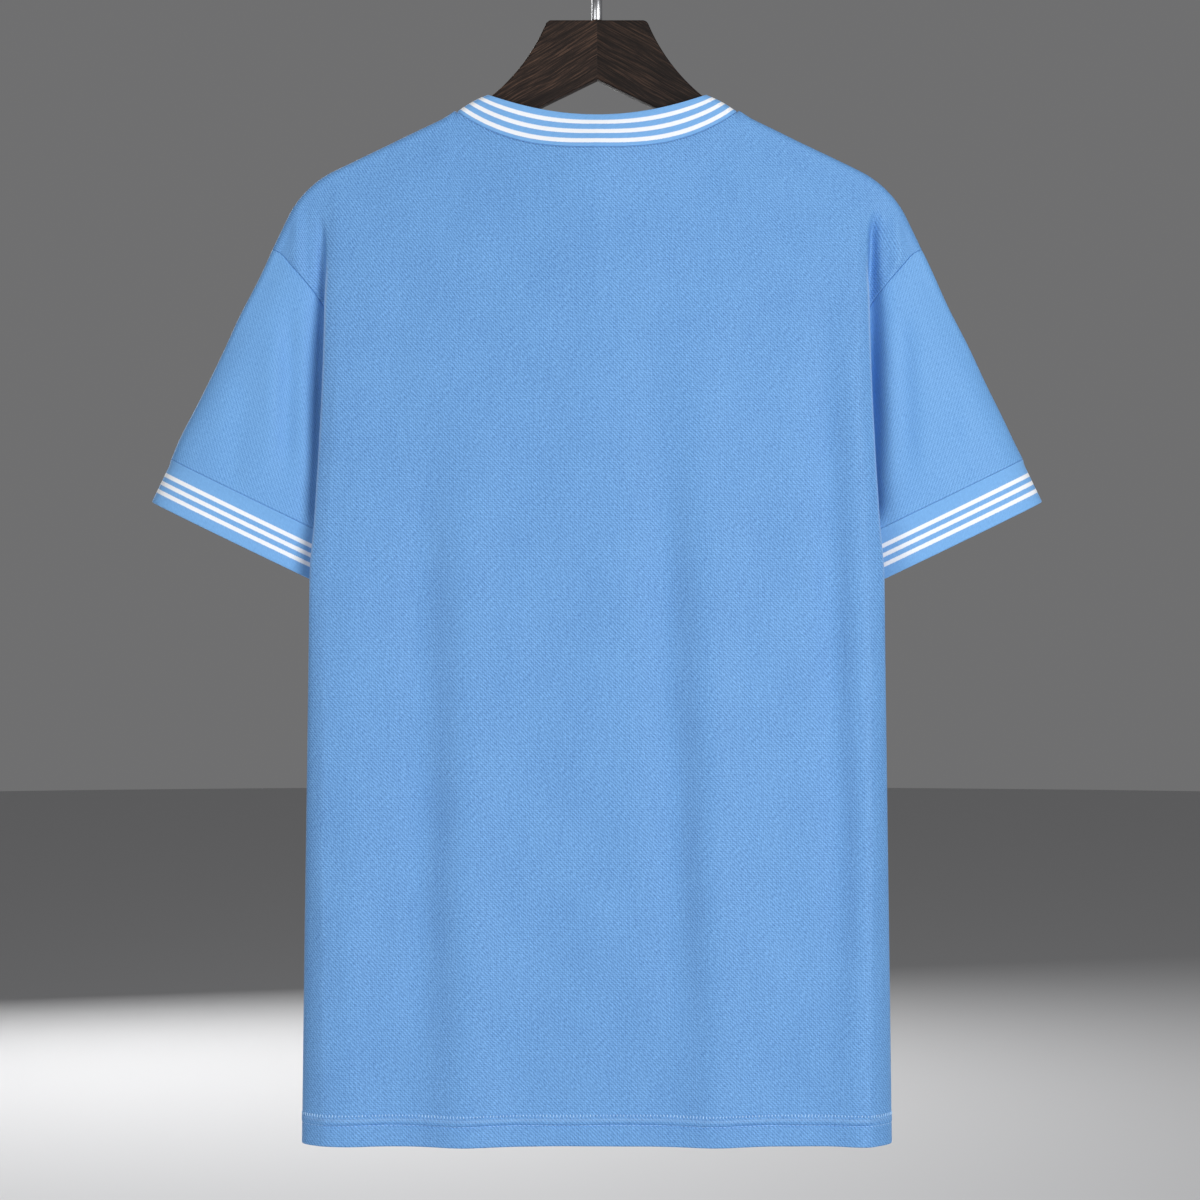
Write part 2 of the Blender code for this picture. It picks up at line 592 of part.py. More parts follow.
def flat_board(name, outline):
    """A mesh of a filled outline with the hanger's thickness, standing in the XZ plane."""
    curve = bpy.data.curves.new(name, "CURVE")
    curve.dimensions = "2D"
    curve.fill_mode = "BOTH"
    curve.extrude = HANGER_DEPTH / 2
    spline = curve.splines.new("POLY")
    spline.points.add(len(outline) - 1)
    for point, (x, z) in zip(spline.points, outline):
        point.co = (x, z, 0, 1)
    spline.use_cyclic_u = True
    drawn = bpy.data.objects.new(name, curve)
    bpy.context.scene.collection.objects.link(drawn)
    graph = bpy.context.evaluated_depsgraph_get()
    mesh = bpy.data.meshes.new_from_object(drawn.evaluated_get(graph))
    bpy.data.objects.remove(drawn)
    build = bmesh.new()
    build.from_mesh(mesh)
    bpy.data.meshes.remove(mesh)
    bmesh.ops.remove_doubles(build, verts=build.verts, dist=0.00001)
    bmesh.ops.dissolve_limit(build, verts=build.verts, edges=build.edges, angle_limit=math.radians(1))
    bmesh.ops.rotate(build, verts=build.verts, matrix=Matrix.Rotation(math.pi / 2, 3, "X"))
    return build


def hanger_arm(name, side, collection, material):
    """One wooden arm, its edges rounded all round but for the joint at the middle."""
    build = flat_board(name, [(side * x, z) for x, z in arm_outline()])
    rounded = []
    for edge in build.edges:
        level = abs(edge.verts[0].co.y - edge.verts[1].co.y) < 1e-6
        on_joint = all(abs(vert.co.x) < SEAM_GAP for vert in edge.verts)
        if level and not on_joint and edge.calc_face_angle() > math.radians(60):
            rounded.append(edge)
    bmesh.ops.bevel(build, geom=rounded, offset=HANGER_ROUND, segments=2, profile=0.5, affect="EDGES")
    return add(name, finish_mesh(name, build), collection, material)


def hook_line():
    """The middle line of the hook's wire: a stem, a bend off to one side, and most of a circle."""
    radius = HOOK_INNER_RADIUS + HOOK_WIRE / 2
    foot = np.array([0, 0, HEAD_TOP_Z + FERRULE_HEIGHT + 2 * SEAM_GAP])
    stem_top = np.array([0, 0, HOOK_STEM_TOP])
    angles = np.linspace(HOOK_START_ANGLE, HOOK_TIP_ANGLE, 22)
    circle = np.stack([np.cos(angles), 0 * angles, np.sin(angles)], axis=1) * radius
    circle -= (0, 0, HOOK_INNER_RADIUS)
    reach = np.linalg.norm(circle[0] - stem_top)
    leave = np.array([0, 0, reach])
    arrive = np.array([math.sin(HOOK_START_ANGLE), 0, -math.cos(HOOK_START_ANGLE)]) * reach
    bend = [hermite(k / 7, stem_top, circle[0], leave, arrive) for k in range(7)]
    return [foot, *bend, *circle]


def hook(collection, material):
    curve = bpy.data.curves.new("hook", "CURVE")
    curve.dimensions = "3D"
    curve.bevel_depth = HOOK_WIRE / 2
    curve.bevel_resolution = 2
    curve.use_fill_caps = True
    line = hook_line()
    spline = curve.splines.new("POLY")
    spline.points.add(len(line) - 1)
    for point, place in zip(spline.points, line):
        point.co = (*place, 1)
    return add("hook", curve, collection, material)


def ferrule(collection, material):
    """The metal sleeve round the hook's foot, standing on the hanger's head."""
    build = bmesh.new()
    bmesh.ops.create_cone(build, cap_ends=True, segments=24, radius1=FERRULE_RADIUS, radius2=FERRULE_RADIUS,
                          depth=FERRULE_HEIGHT)
    made = add("hook_ferrule", finish_mesh("hook_ferrule", build), collection, material)
    made.location = (0, 0, HEAD_TOP_Z + SEAM_GAP + FERRULE_HEIGHT / 2)
    return made


# ---------------------------------------------------------------- scene
def finish(name, colour, roughness, metallic=0.0):
    made = bpy.data.materials.new(name)
    made.use_nodes = True
    shader = made.node_tree.nodes["Principled BSDF"]
    shader.inputs["Base Color"].default_value = (*colour, 1)
    shader.inputs["Roughness"].default_value = roughness
    shader.inputs["Metallic"].default_value = metallic
    return made


def main():
    for old in list(bpy.data.objects):
        bpy.data.objects.remove(old)
    parts = bpy.data.collections.new("football_jersey")
    bpy.context.scene.collection.children.link(parts)
    knit = finish("sky_knit", (0.16, 0.37, 0.72), 0.85)
    rib = finish("sky_rib", (0.20, 0.42, 0.76), 0.85)
    wood = finish("dark_wood", (0.045, 0.025, 0.018), 0.5)
    steel = finish("polished_steel", (0.75, 0.75, 0.75), 0.15, metallic=1.0)
    pieces = jersey_pieces()
    normals = shared_normals(pieces)
    for piece in pieces:
        wall(piece, normals, parts, rib if piece.outer[0] > CLOTH / 2 else knit)
    hanger_arm("hanger_left_arm", 1, parts, wood)
    hanger_arm("hanger_right_arm", -1, parts, wood)
    ferrule(parts, steel)
    hook(parts, steel)


main()
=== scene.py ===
"""Dresses a packed football jersey on its hanger: knit, striped ribs, seams, hem stitches, wood and metal.

Metres, +Z up, +X to the wearer's left, the garment's back towards +Y and its front towards -Y. The origin is
the inside top of the hook.

Each cloth piece is a thin wall round a fine grid of middle points. The grid has the form of the piece's solid,
to which its creases, its seams and its turned edges are added. Stitches are laid along lines of these grids.
"""

from __future__ import annotations

import logging
import math
from collections.abc import Sequence
from dataclasses import dataclass, field
from enum import Enum
from typing import ClassVar, NamedTuple

import bmesh
import bpy
import numpy as np
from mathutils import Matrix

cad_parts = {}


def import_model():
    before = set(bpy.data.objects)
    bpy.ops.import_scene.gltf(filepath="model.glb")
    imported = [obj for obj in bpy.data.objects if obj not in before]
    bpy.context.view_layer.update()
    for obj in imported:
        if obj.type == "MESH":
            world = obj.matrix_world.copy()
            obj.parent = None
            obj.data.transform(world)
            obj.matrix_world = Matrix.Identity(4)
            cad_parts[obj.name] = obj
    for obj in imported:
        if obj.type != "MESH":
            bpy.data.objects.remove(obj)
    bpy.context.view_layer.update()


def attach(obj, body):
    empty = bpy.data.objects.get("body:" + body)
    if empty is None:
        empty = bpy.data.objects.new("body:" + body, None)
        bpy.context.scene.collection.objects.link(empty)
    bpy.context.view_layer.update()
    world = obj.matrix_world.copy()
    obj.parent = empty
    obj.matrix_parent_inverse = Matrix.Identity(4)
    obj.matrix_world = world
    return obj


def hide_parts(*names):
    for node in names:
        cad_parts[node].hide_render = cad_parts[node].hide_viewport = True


LOG = logging.getLogger("jersey")
BODY = "root"
MILLIMETRE = 0.001

Array = np.ndarray
Colour = tuple[float, float, float]
Material = bpy.types.Material
Object = bpy.types.Object
Socket = bpy.types.NodeSocket


# ------------------------------------------------------------------------ small helpers
def hermite(t: float, start: Array, end: Array, leave: Array, arrive: Array) -> Array:
    """Gives the points at `t`, from 0 to 1, of cubics with these ends and end tangents."""
    return (
        (1 + 2 * t) * (1 - t) ** 2 * start
        + t * t * (3 - 2 * t) * end
        + t * (1 - t) ** 2 * leave
        + t * t * (t - 1) * arrive
    )


def spline(chain: Array, steps: Sequence[int]) -> Array:
    """Draws smooth curves through all but the first and last points of a chain.

    Args:
        chain: The points, shaped (points, curves, 3). The first and last only steer the curves' ends.
        steps: How many steps each span is cut into.

    Returns:
        The curves' points, shaped (sum of steps + 1, curves, 3).
    """
    lengths = np.sqrt(np.linalg.norm(np.diff(chain, axis=0), axis=2, keepdims=True))
    made = [chain[1]]
    for i, count in enumerate(steps, start=1):
        a, b, c = lengths[i - 1 : i + 2]
        p0, p1, p2, p3 = chain[i - 1 : i + 3]
        leave = b * ((p1 - p0) / a - (p2 - p0) / (a + b) + (p2 - p1) / b)
        arrive = b * ((p2 - p1) / b - (p3 - p1) / (b + c) + (p3 - p2) / c)
        made += [hermite(k / count, p1, p2, leave, arrive) for k in range(1, count + 1)]
    return np.array(made)


def along(points: Array, axis: int = 0, back: bool = False) -> Array:
    """Measures how far along a grid's lines each of its points lies, or how far from their ends."""
    points = np.flip(points, axis) if back else points
    steps = np.linalg.norm(np.diff(points, axis=axis), axis=-1)
    start = np.zeros_like(np.take(steps, [0], axis=axis))
    reach = np.concatenate([start, np.cumsum(steps, axis=axis)], axis=axis)
    return np.flip(reach, axis) if back else reach


def unit(ways: Array) -> Array:
    """Scales directions to one long."""
    return ways / np.maximum(np.linalg.norm(ways, axis=-1, keepdims=True), 1e-12)


def smooth(share: Array) -> Array:
    """Turns a share, cut off at 0 and 1, into one that starts and stops gently."""
    share = np.clip(share, 0, 1)
    return share * share * (3 - 2 * share)


def bell(distance: Array, half_width: float) -> Array:
    """Gives a bell curve: 1 in the middle, and about a third at its half-width."""
    return np.exp(-((distance / half_width) ** 2))


def srgb(red: int, green: int, blue: int) -> Colour:
    """Gives the linear colour of a display colour from 0 to 255."""
    shares = [channel / 255 for channel in (red, green, blue)]
    return tuple(s / 12.92 if s < 0.04045 else ((s + 0.055) / 1.055) ** 2.4 for s in shares)


def link(name: str, data: bpy.types.ID) -> Object:
    """Puts a mesh, a light or a camera in the scene as an object."""
    made = bpy.data.objects.new(name, data)
    bpy.context.scene.collection.objects.link(made)
    return made


def solid(name: str, build: bmesh.types.BMesh, finish: Material, sharp: float = 60) -> Object:
    """Makes an object from a bmesh, smooth but for the edges that turn by more than `sharp` degrees."""
    mesh = bpy.data.meshes.new(name)
    build.to_mesh(mesh)
    build.free()
    mesh.shade_smooth()
    mesh.set_sharp_from_angle(angle=math.radians(sharp))
    mesh.materials.append(finish)
    return link(name, mesh)


def tell(piece: Object, node: str | None = None) -> Object:
    """Puts a piece on its body and hides the solid that it takes the place of."""
    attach(piece, BODY)
    if node is not None:
        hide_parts(node)
    return piece


# ------------------------------------------------------------------------ form of the cloth
class Side(Enum):
    """The two sides of the body."""

    BACK = "back"
    FRONT = "front"


class SideRow(NamedTuple):
    """One section of the body's side: flat's end, fold's tip, layer under it, way in to the seam, the seam."""

    z: float
    edge_x: float
    tip_x: float
    tip_y: float
    under_x: float
    under_y: float
    mid_x: float
    mid_y: float
    seam_x: float
    seam_y: float
    seam_z: float


SIDE_ROWS = (
    SideRow(-0.200, 0.1820, 0.1915, 0.0115, 0.2005, 0.0112, 0.2100, 0.0108, 0.2195, 0.0098, -0.2385),
    SideRow(-0.220, 0.1780, 0.1885, 0.0150, 0.1950, 0.0122, 0.2040, 0.0125, 0.2130, 0.0120, -0.2460),
    SideRow(-0.245, 0.1775, 0.1885, 0.0185, 0.1910, 0.0128, 0.1970, 0.0127, 0.2040, 0.0130, -0.2565),
    SideRow(-0.270, 0.1790, 0.1895, 0.0220, 0.1880, 0.0155, 0.1885, 0.0122, 0.1925, 0.0118, -0.2720),
    SideRow(-0.288, 0.1797, 0.1897, 0.0245, 0.1873, 0.0180, 0.1858, 0.0142, 0.1850, 0.0106, -0.2868),
    SideRow(-0.305, 0.1805, 0.1900, 0.0265, 0.1862, 0.0205, 0.1820, 0.0167, 0.1785, 0.0110, -0.3020),
    SideRow(-0.340, 0.1815, 0.1910, 0.0305, 0.1840, 0.0250, 0.1700, 0.0206, 0.1655, 0.0120, -0.3370),
    SideRow(-0.373, 0.1825, 0.1925, 0.0335, 0.1845, 0.0280, 0.1590, 0.0225, 0.1550, 0.0105, -0.3720),
    SideRow(-0.385, 0.1830, 0.1931, 0.0343, 0.1850, 0.0288, 0.1545, 0.0225, 0.1500, 0.0065, -0.3845),
    SideRow(-0.395, 0.1835, 0.1937, 0.0350, 0.1855, 0.0295, 0.1520, 0.0220, 0.1450, 0.0000, -0.3950),
    SideRow(-0.425, 0.1850, 0.1955, 0.0370, 0.1865, 0.0310, 0.1530, 0.0225, 0.1470, 0.0000, -0.4250),
    SideRow(-0.464, 0.1875, 0.1984, 0.0395, 0.1895, 0.0330, 0.1625, 0.0235, 0.1565, 0.0000, -0.4640),
    SideRow(-0.510, 0.1880, 0.1988, 0.0405, 0.1910, 0.0325, 0.1700, 0.0215, 0.1645, 0.0000, -0.5100),
    SideRow(-0.570, 0.1885, 0.1995, 0.0415, 0.1935, 0.0315, 0.1775, 0.0195, 0.1720, 0.0000, -0.5700),
    SideRow(-0.650, 0.1885, 0.2005, 0.0420, 0.1965, 0.0300, 0.1840, 0.0165, 0.1790, 0.0000, -0.6500),
    SideRow(-0.750, 0.1880, 0.2017, 0.0425, 0.1995, 0.0285, 0.1900, 0.0135, 0.1855, 0.0000, -0.7500),
    SideRow(-0.855, 0.1875, 0.2028, 0.0430, 0.2010, 0.0270, 0.1932, 0.0115, 0.1890, 0.0000, -0.8550),
)


class HangingFold(NamedTuple):
    """A soft vertical fold: its middle at the top and the hem, its height there, half-width and start."""

    top_x: float
    hem_x: float
    height: float
    half_width: float
    start_z: float


HANGING_FOLDS = {
    Side.BACK: (
        HangingFold(0.094, 0.091, 0.0085, 0.026, -0.300),
        HangingFold(0.168, 0.172, 0.0040, 0.016, -0.300),
        HangingFold(-0.071, -0.080, 0.0085, 0.027, -0.260),
        HangingFold(-0.176, -0.182, 0.0058, 0.015, -0.200),
    ),
    Side.FRONT: (
        HangingFold(0.030, 0.036, 0.0080, 0.026, -0.320),
        HangingFold(0.124, 0.128, 0.0065, 0.020, -0.280),
        HangingFold(-0.070, -0.064, 0.0085, 0.028, -0.300),
        HangingFold(-0.150, -0.156, 0.0060, 0.018, -0.260),
    ),
}


class Crease(NamedTuple):
    """A soft ridge, or a trough where its height is negative, from one place on the cloth to another."""

    top_x: float
    top_z: float
    foot_x: float
    foot_z: float
    height: float
    half_width: float


PANEL_CREASES = {
    Side.BACK: (
        Crease(0.118, -0.330, 0.119, -0.840, -0.0058, 0.017),
        Crease(0.060, -0.360, 0.052, -0.850, 0.0010, 0.016),
        Crease(-0.042, -0.290, -0.062, -0.840, -0.0064, 0.017),
        Crease(-0.116, -0.420, -0.112, -0.850, 0.0010, 0.014),
        Crease(-0.157, -0.230, -0.170, -0.770, -0.0054, 0.013),
        Crease(0.140, -0.215, 0.136, -0.330, -0.0006, 0.010),
        Crease(0.092, -0.146, 0.066, -0.190, -0.0007, 0.007),
        Crease(-0.094, -0.146, -0.070, -0.196, -0.0006, 0.008),
        Crease(0.112, -0.148, 0.104, -0.176, 0.0006, 0.006),
        Crease(0.010, -0.620, 0.004, -0.850, 0.0007, 0.012),
    ),
    Side.FRONT: (
        Crease(0.085, -0.420, 0.080, -0.850, -0.0013, 0.013),
        Crease(-0.016, -0.380, -0.010, -0.850, -0.0012, 0.014),
        Crease(-0.112, -0.330, -0.108, -0.840, -0.0011, 0.011),
        Crease(0.150, -0.300, 0.160, -0.700, 0.0009, 0.010),
        Crease(0.060, -0.250, 0.110, -0.170, -0.0008, 0.009),
        Crease(-0.058, -0.252, -0.116, -0.176, -0.0007, 0.008),
        Crease(0.004, -0.245, 0.012, -0.330, 0.0007, 0.012),
    ),
}
SLEEVE_CREASES = (
    Crease(0.2115, -0.258, 0.2100, -0.400, 0.0020, 0.0052),
    Crease(0.2190, -0.262, 0.2215, -0.395, -0.0021, 0.0054),
    Crease(0.2290, -0.275, 0.2330, -0.400, 0.0019, 0.0066),
    Crease(0.2480, -0.310, 0.2600, -0.420, -0.0017, 0.0085),
    Crease(0.2700, -0.400, 0.2780, -0.440, 0.0008, 0.0070),
)
SLEEVE_SHARES = {1: 1.0, -1: 0.5}
CAP_CREASES = (
    Crease(0.2100, -0.196, 0.2110, -0.264, 0.0014, 0.0042),
    Crease(0.2035, -0.200, 0.2035, -0.264, -0.0010, 0.0036),
)


GAIN_START, GAIN_RUN = 0.088, 0.045


class Valley(NamedTuple):
    """The deep trough beside the body's fold: its top, its middle there and at its foot, and its cross section.

    It gets deeper, by a share `gain` of its depth, below the place where the armhole goes behind the fold:
    `GAIN_START` below its top, over `GAIN_RUN`.
    """

    top_z: float
    top_x: float
    foot_x: float
    foot_z: float
    rise: float
    depth: float
    half_width: float
    gain: float

    def field(self, x: Array, z: Array) -> Array:
        """Works out how deep it is at places on the cloth."""
        down = self.top_z - z
        middle = self.top_x + (self.foot_x - self.top_x) * down / (self.top_z - self.foot_z)
        depth = self.depth * (1 + self.gain * smooth((down - GAIN_START) / GAIN_RUN))
        return depth * smooth(down / self.rise) * bell(x - middle, self.half_width)


VALLEYS = {
    1: Valley(-0.199, 0.1895, 0.1985, -0.500, 0.032, 0.0030, 0.0062, 0.0),
    -1: Valley(-0.199, 0.1920, 0.1920, -0.500, 0.024, 0.0088, 0.0066, 0.45),
}


CREASE_ENDS, CREASE_FOOT = 3, 0.2


def crease_field(creases: Sequence[Crease], x: Array, z: Array) -> Array:
    """Works out how far creases move the cloth out at places on it. Each fades over a third of its length."""
    moved = np.zeros_like(x)
    for crease in creases:
        run = np.array([crease.foot_x - crease.top_x, crease.foot_z - crease.top_z])
        length = float(np.linalg.norm(run))
        way = run / length
        down = ((x - crease.top_x) * way[0] + (z - crease.top_z) * way[1]) / length
        aside = (x - crease.top_x) * way[1] - (z - crease.top_z) * way[0]
        fade = smooth(down * CREASE_ENDS) * smooth((1 - down) * CREASE_ENDS + CREASE_FOOT)
        moved += crease.height * fade * bell(aside, crease.half_width)
    return moved


class Ripple(NamedTuple):
    """One of the slow waves that make cloth uneven: its lengths across and down, its start, its height."""

    across: float
    down: float
    start: float
    height: float


RIPPLES = (
    Ripple(0.061, 0.190, 0.4, 0.00022),
    Ripple(0.093, -0.120, 2.1, 0.00026),
    Ripple(-0.047, 0.083, 4.0, 0.00012),
    Ripple(0.140, 0.070, 5.2, 0.00018),
    Ripple(0.029, 0.260, 1.3, 0.00008),
)


def unevenness(x: Array, z: Array) -> Array:
    """Sums the slow waves at places on the cloth."""
    return sum(
        wave.height * np.sin(math.tau * (x / wave.across + z / wave.down) + wave.start) for wave in RIPPLES
    )


@dataclass(frozen=True)
class JerseyForm:
    """The form of the hanging jersey: the middle surfaces of its pieces, worked out from its sizes."""

    neck_x: float = 0.098
    neck_z: float = -0.1362
    shoulder_slope: float = math.radians(25.7)
    sleeve_slope: float = math.radians(64.2)
    ridge_corner_x: float = 0.2064
    ridge_bend: float = 0.025
    edge_top_x: float = 0.186
    shoulder_xs: tuple[float, ...] = (0.186, 0.194, 0.205, 0.216, 0.228)
    arch_flat: float = 0.0028
    arch_radius: float = 0.0059
    body_spread: float = 0.047
    spread_drop: float = 0.19
    neck_stand: float = 0.008
    neck_stand_x: float = 0.060
    neck_stand_z: float = 0.050
    neck_stand_fade: float = 0.020
    back_neck_drop: float = 0.0274
    back_neck_power: float = 2.7
    front_neck_drop: float = 0.090
    front_neck_power: float = 0.45
    back_neck_corner: float = 0.6
    front_neck_corner: float = 1.3
    neck_corner_reach: float = 0.050
    neck_step: float = 0.0014
    neck_step_start: float = 0.002
    neck_step_x: float = 0.1005
    neck_step_width: float = 0.0045
    armpit_z: float = -0.395
    hem_z: float = -0.855
    section_shares: tuple[float, ...] = (0, 0.12, 0.35, 0.68, 1)
    into_sleeve: tuple[float, float, float] = (0.004, -0.004, 0.0)
    columns_settle: float = 1.6
    fold_growth: float = 1.35
    fold_growth_power: float = 0.8
    neck_columns: int = 30
    shoulder_columns: int = 22
    fold_steps: tuple[int, ...] = (8, 9, 8, 8)
    arch_turns: int = 6
    bridge_steps: int = 5
    upper_step: float = 0.0042
    lower_step: float = 0.0056

    def ridge(self, x: Array) -> tuple[Array, Array]:
        """Gives the height and slope of the shoulder ridge: a straight line, a bend, the sleeve's line."""
        start = self.ridge_corner_x - self.ridge_bend * math.cos(self.shoulder_slope)
        end = self.ridge_corner_x + self.ridge_bend * math.cos(self.sleeve_slope)
        radius = self.ridge_bend / math.tan((self.sleeve_slope - self.shoulder_slope) / 2)
        shoulder = self.neck_z - (x - self.neck_x) * math.tan(self.shoulder_slope)
        corner_z = self.neck_z - (self.ridge_corner_x - self.neck_x) * math.tan(self.shoulder_slope)
        sleeve = corner_z - (x - self.ridge_corner_x) * math.tan(self.sleeve_slope)
        start_z = self.neck_z - (start - self.neck_x) * math.tan(self.shoulder_slope)
        turned = (x - start) / radius + math.sin(self.shoulder_slope)
        bend_slope = np.arcsin(np.clip(turned, -1, 1))
        bend = start_z + radius * (np.cos(bend_slope) - math.cos(self.shoulder_slope))
        height = np.where(x <= start, shoulder, np.where(x >= end, sleeve, bend))
        slope = np.where(x <= start, self.shoulder_slope, np.where(x >= end, self.sleeve_slope, bend_slope))
        return height, slope

    def depth(self, x: Array, z: Array) -> Array:
        """Gives how far the cloth hangs from the hanger's middle plane, before its folds."""
        below = np.maximum(self.ridge(np.minimum(np.abs(x), self.edge_top_x))[0] - z, 0)
        left = self.arch_radius - np.minimum(below, self.arch_radius)
        arch = self.arch_flat + np.sqrt(np.maximum(self.arch_radius**2 - left**2, 0))
        under = np.maximum(below - self.arch_radius, 0)
        hang = arch + self.body_spread * (1 - np.exp(-under / self.spread_drop))
        near_neck = np.exp(-((x / self.neck_stand_x) ** 2) - ((z - self.neck_z) / self.neck_stand_z) ** 2)
        return hang + self.neck_stand * near_neck * np.minimum(under / self.neck_stand_fade, 1)

    def folds(self, side: Side, x: Array, z: Array) -> Array:
        """Gives how far the soft vertical folds stand out."""
        moved = np.zeros_like(x)
        for fold in HANGING_FOLDS[side]:
            down = np.maximum((z - fold.start_z) / (self.hem_z - fold.start_z), 0)
            middle = fold.top_x + (fold.hem_x - fold.top_x) * down
            growth = np.minimum(1.0, self.fold_growth * down) ** self.fold_growth_power
            moved += fold.height * growth * bell(x - middle, fold.half_width)
        return moved

    def neck_seam(self, x: Array, side: Side) -> tuple[Array, Array]:
        """Gives the height and slope of the neck seam, from the middle to the neck point."""
        share = np.minimum(x / self.neck_x, 1.0)
        if side is Side.FRONT:
            left = np.maximum(1 - share**2, 1e-12)
            power = self.front_neck_power
            slope = self.front_neck_drop * 2 * power * share * left ** (power - 1) / self.neck_x
            return self.neck_z - self.front_neck_drop * left**power, np.arctan(slope)
        power = self.back_neck_power
        slope = self.back_neck_drop * power * share ** (power - 1) / self.neck_x
        return self.neck_z - self.back_neck_drop * (1 - share**power), np.arctan(slope)

    def neck_line(self, side: Side) -> Array:
        """Gives close points of half the neck seam, from the neck point to the middle."""
        x = self.neck_x * np.sqrt(1 - np.cos(np.linspace(math.pi / 2, 0, 400)) ** 6)
        z = self.neck_seam(x, side)[0]
        return np.stack([x, self.depth(x, z), z], axis=1)

    def arch_row(self, side: Side, out: float, down: float, cloth: float) -> Array:
        """Makes one of the first rows of half a panel, which run over the hanger's edge.

        Args:
            side: Which panel.
            out: How far the row lies from the hanger's middle plane.
            down: How far it lies below the ridge.
            cloth: How much cloth lies between it and the seam.

        Returns:
            The row's points, from the panel's middle to the shoulder point.
        """
        line = self.neck_line(side)
        reach = along(line)
        corner = self.front_neck_corner if side is Side.FRONT else self.back_neck_corner
        reached = reach[-1] * (1 - np.arange(self.neck_columns) / self.neck_columns)
        reached = reached + cloth * corner * np.maximum(0, 1 - reached / self.neck_corner_reach)
        x = np.interp(np.minimum(reached, reach[-1]), reach, line[:, 0])
        z, slope = self.neck_seam(x, side)
        slope = np.minimum(slope, math.pi / 2 - self.shoulder_slope)
        x, z = x + cloth * np.sin(slope), z - cloth * np.cos(slope)
        neck = np.stack([x, self.depth(x, z), z], axis=1)
        span = self.edge_top_x - self.neck_x
        xs = np.linspace(self.neck_x, self.edge_top_x, self.shoulder_columns + 1)
        shoulder = list(xs + cloth * corner * (self.edge_top_x - xs) / span)
        for x0, x1, count in zip(self.shoulder_xs, self.shoulder_xs[1:], self.fold_steps):
            shoulder += [x0 + (x1 - x0) * k / count for k in range(1, count + 1)]
        x = np.array(shoulder)
        z, slope = self.ridge(x)
        begins = smooth((x - self.neck_x) / self.neck_step_start)
        z = z + self.neck_step * begins * bell(x - self.neck_step_x, self.neck_step_width)
        over = np.stack([x - down * np.sin(slope), np.full_like(x, out), z - down * np.cos(slope)], axis=1)
        return np.concatenate([neck, over])

    def arch_rows(self, side: Side) -> Array:
        """Makes all the rows that run over the hanger's edge."""
        rows = [self.arch_row(side, 0, 0, 0), self.arch_row(side, self.arch_flat / 2, 0, self.arch_flat / 2)]
        for turned in np.linspace(0, math.pi / 2, self.arch_turns + 1):
            out = self.arch_flat + self.arch_radius * math.sin(turned)
            down = self.arch_radius * (1 - math.cos(turned))
            rows.append(self.arch_row(side, out, down, self.arch_flat + self.arch_radius * turned))
        return np.array(rows)

    def sections(self, z: Array) -> Array:
        """Reads the table of the side at these heights, shaped (heights, columns of the table)."""
        table = np.array(SIDE_ROWS)[::-1]
        heights = table[:, 0]
        step = np.diff(heights)
        slope = np.diff(table, axis=0) / step[:, None]
        before, after = slope[:-1], slope[1:]
        inner = np.where(before * after > 0, 2 * before * after / (before + after + 1e-30), 0)
        tangent = np.concatenate([slope[:1], inner, slope[-1:]])
        i = np.clip(np.searchsorted(heights, z, "right") - 1, 0, len(step) - 1)
        t = ((z - heights[i]) / step[i])[:, None]
        width = step[i][:, None]
        return hermite(t, table[i], table[i + 1], width * tangent[i], width * tangent[i + 1])

    def row_heights(self, hem_lines: Sequence[float]) -> Array:
        """Lists the heights of a panel's rows below the shoulder: closer together at the hem.

        Args:
            hem_lines: How far above the hem's lower edge its lines lie, from the uppermost down to 0.
        """
        top = SIDE_ROWS[0].z
        upper = np.linspace(top, self.armpit_z, round((top - self.armpit_z) / self.upper_step) + 1)
        hem_top = self.hem_z + hem_lines[0]
        count = round((self.armpit_z - hem_top) / self.lower_step)
        lower = np.linspace(self.armpit_z, hem_top, count + 1)[1:-1]
        return np.concatenate([upper, lower, self.hem_z + np.array(hem_lines)])

    def half_panel(self, side: Side, hand: int, hem_lines: Sequence[float]) -> Array:
        """Makes half a panel's middle surface, with y away from the body's middle: rows down, columns out."""
        arch = self.arch_rows(side)
        start = arch[-1]
        columns = self.neck_columns + self.shoulder_columns
        z = self.row_heights(hem_lines)
        table = self.sections(z)
        section = SideRow(*table.T)
        edge_z = start[columns, 2]
        down = ((edge_z - z) / (edge_z - self.armpit_z))[:, None]
        top = start[: columns + 1]
        even = section.edge_x[:, None] * np.arange(columns + 1) / columns
        x = top[:, 0] + (even - top[:, 0]) * np.minimum(self.columns_settle * down, 1)
        height = np.where(down > 1, z[:, None], top[:, 2] + (self.armpit_z - top[:, 2]) * down)
        y = self.depth(x, height) + self.folds(side, hand * x, height)
        flat = np.stack([x, y, height], axis=2)
        turned_x = (x[:, -1], section.tip_x, section.under_x, section.mid_x, section.seam_x)
        turned_y = (y[:, -1], section.tip_y, section.under_y, section.mid_y, section.seam_y)
        drop = section.seam_z - z
        turned = np.array(
            [np.stack([tx, ty, z + drop * s], 1) for tx, ty, s in zip(turned_x, turned_y, self.section_shares)]
        )
        mirrored = turned[-2] * (1, -1, 1)
        past = np.where((z <= self.armpit_z)[:, None], mirrored, turned[-1] + self.into_sleeve)
        side_curves = spline(np.concatenate([flat[None, :, -2], turned, past[None]]), self.fold_steps)
        below = np.concatenate([flat, side_curves[1:].transpose(1, 0, 2)], axis=1)
        bridge = spline(np.array([arch[-2], arch[-1], below[0], below[1]]), (self.bridge_steps,))
        return np.concatenate([arch, bridge[1:-1], below])

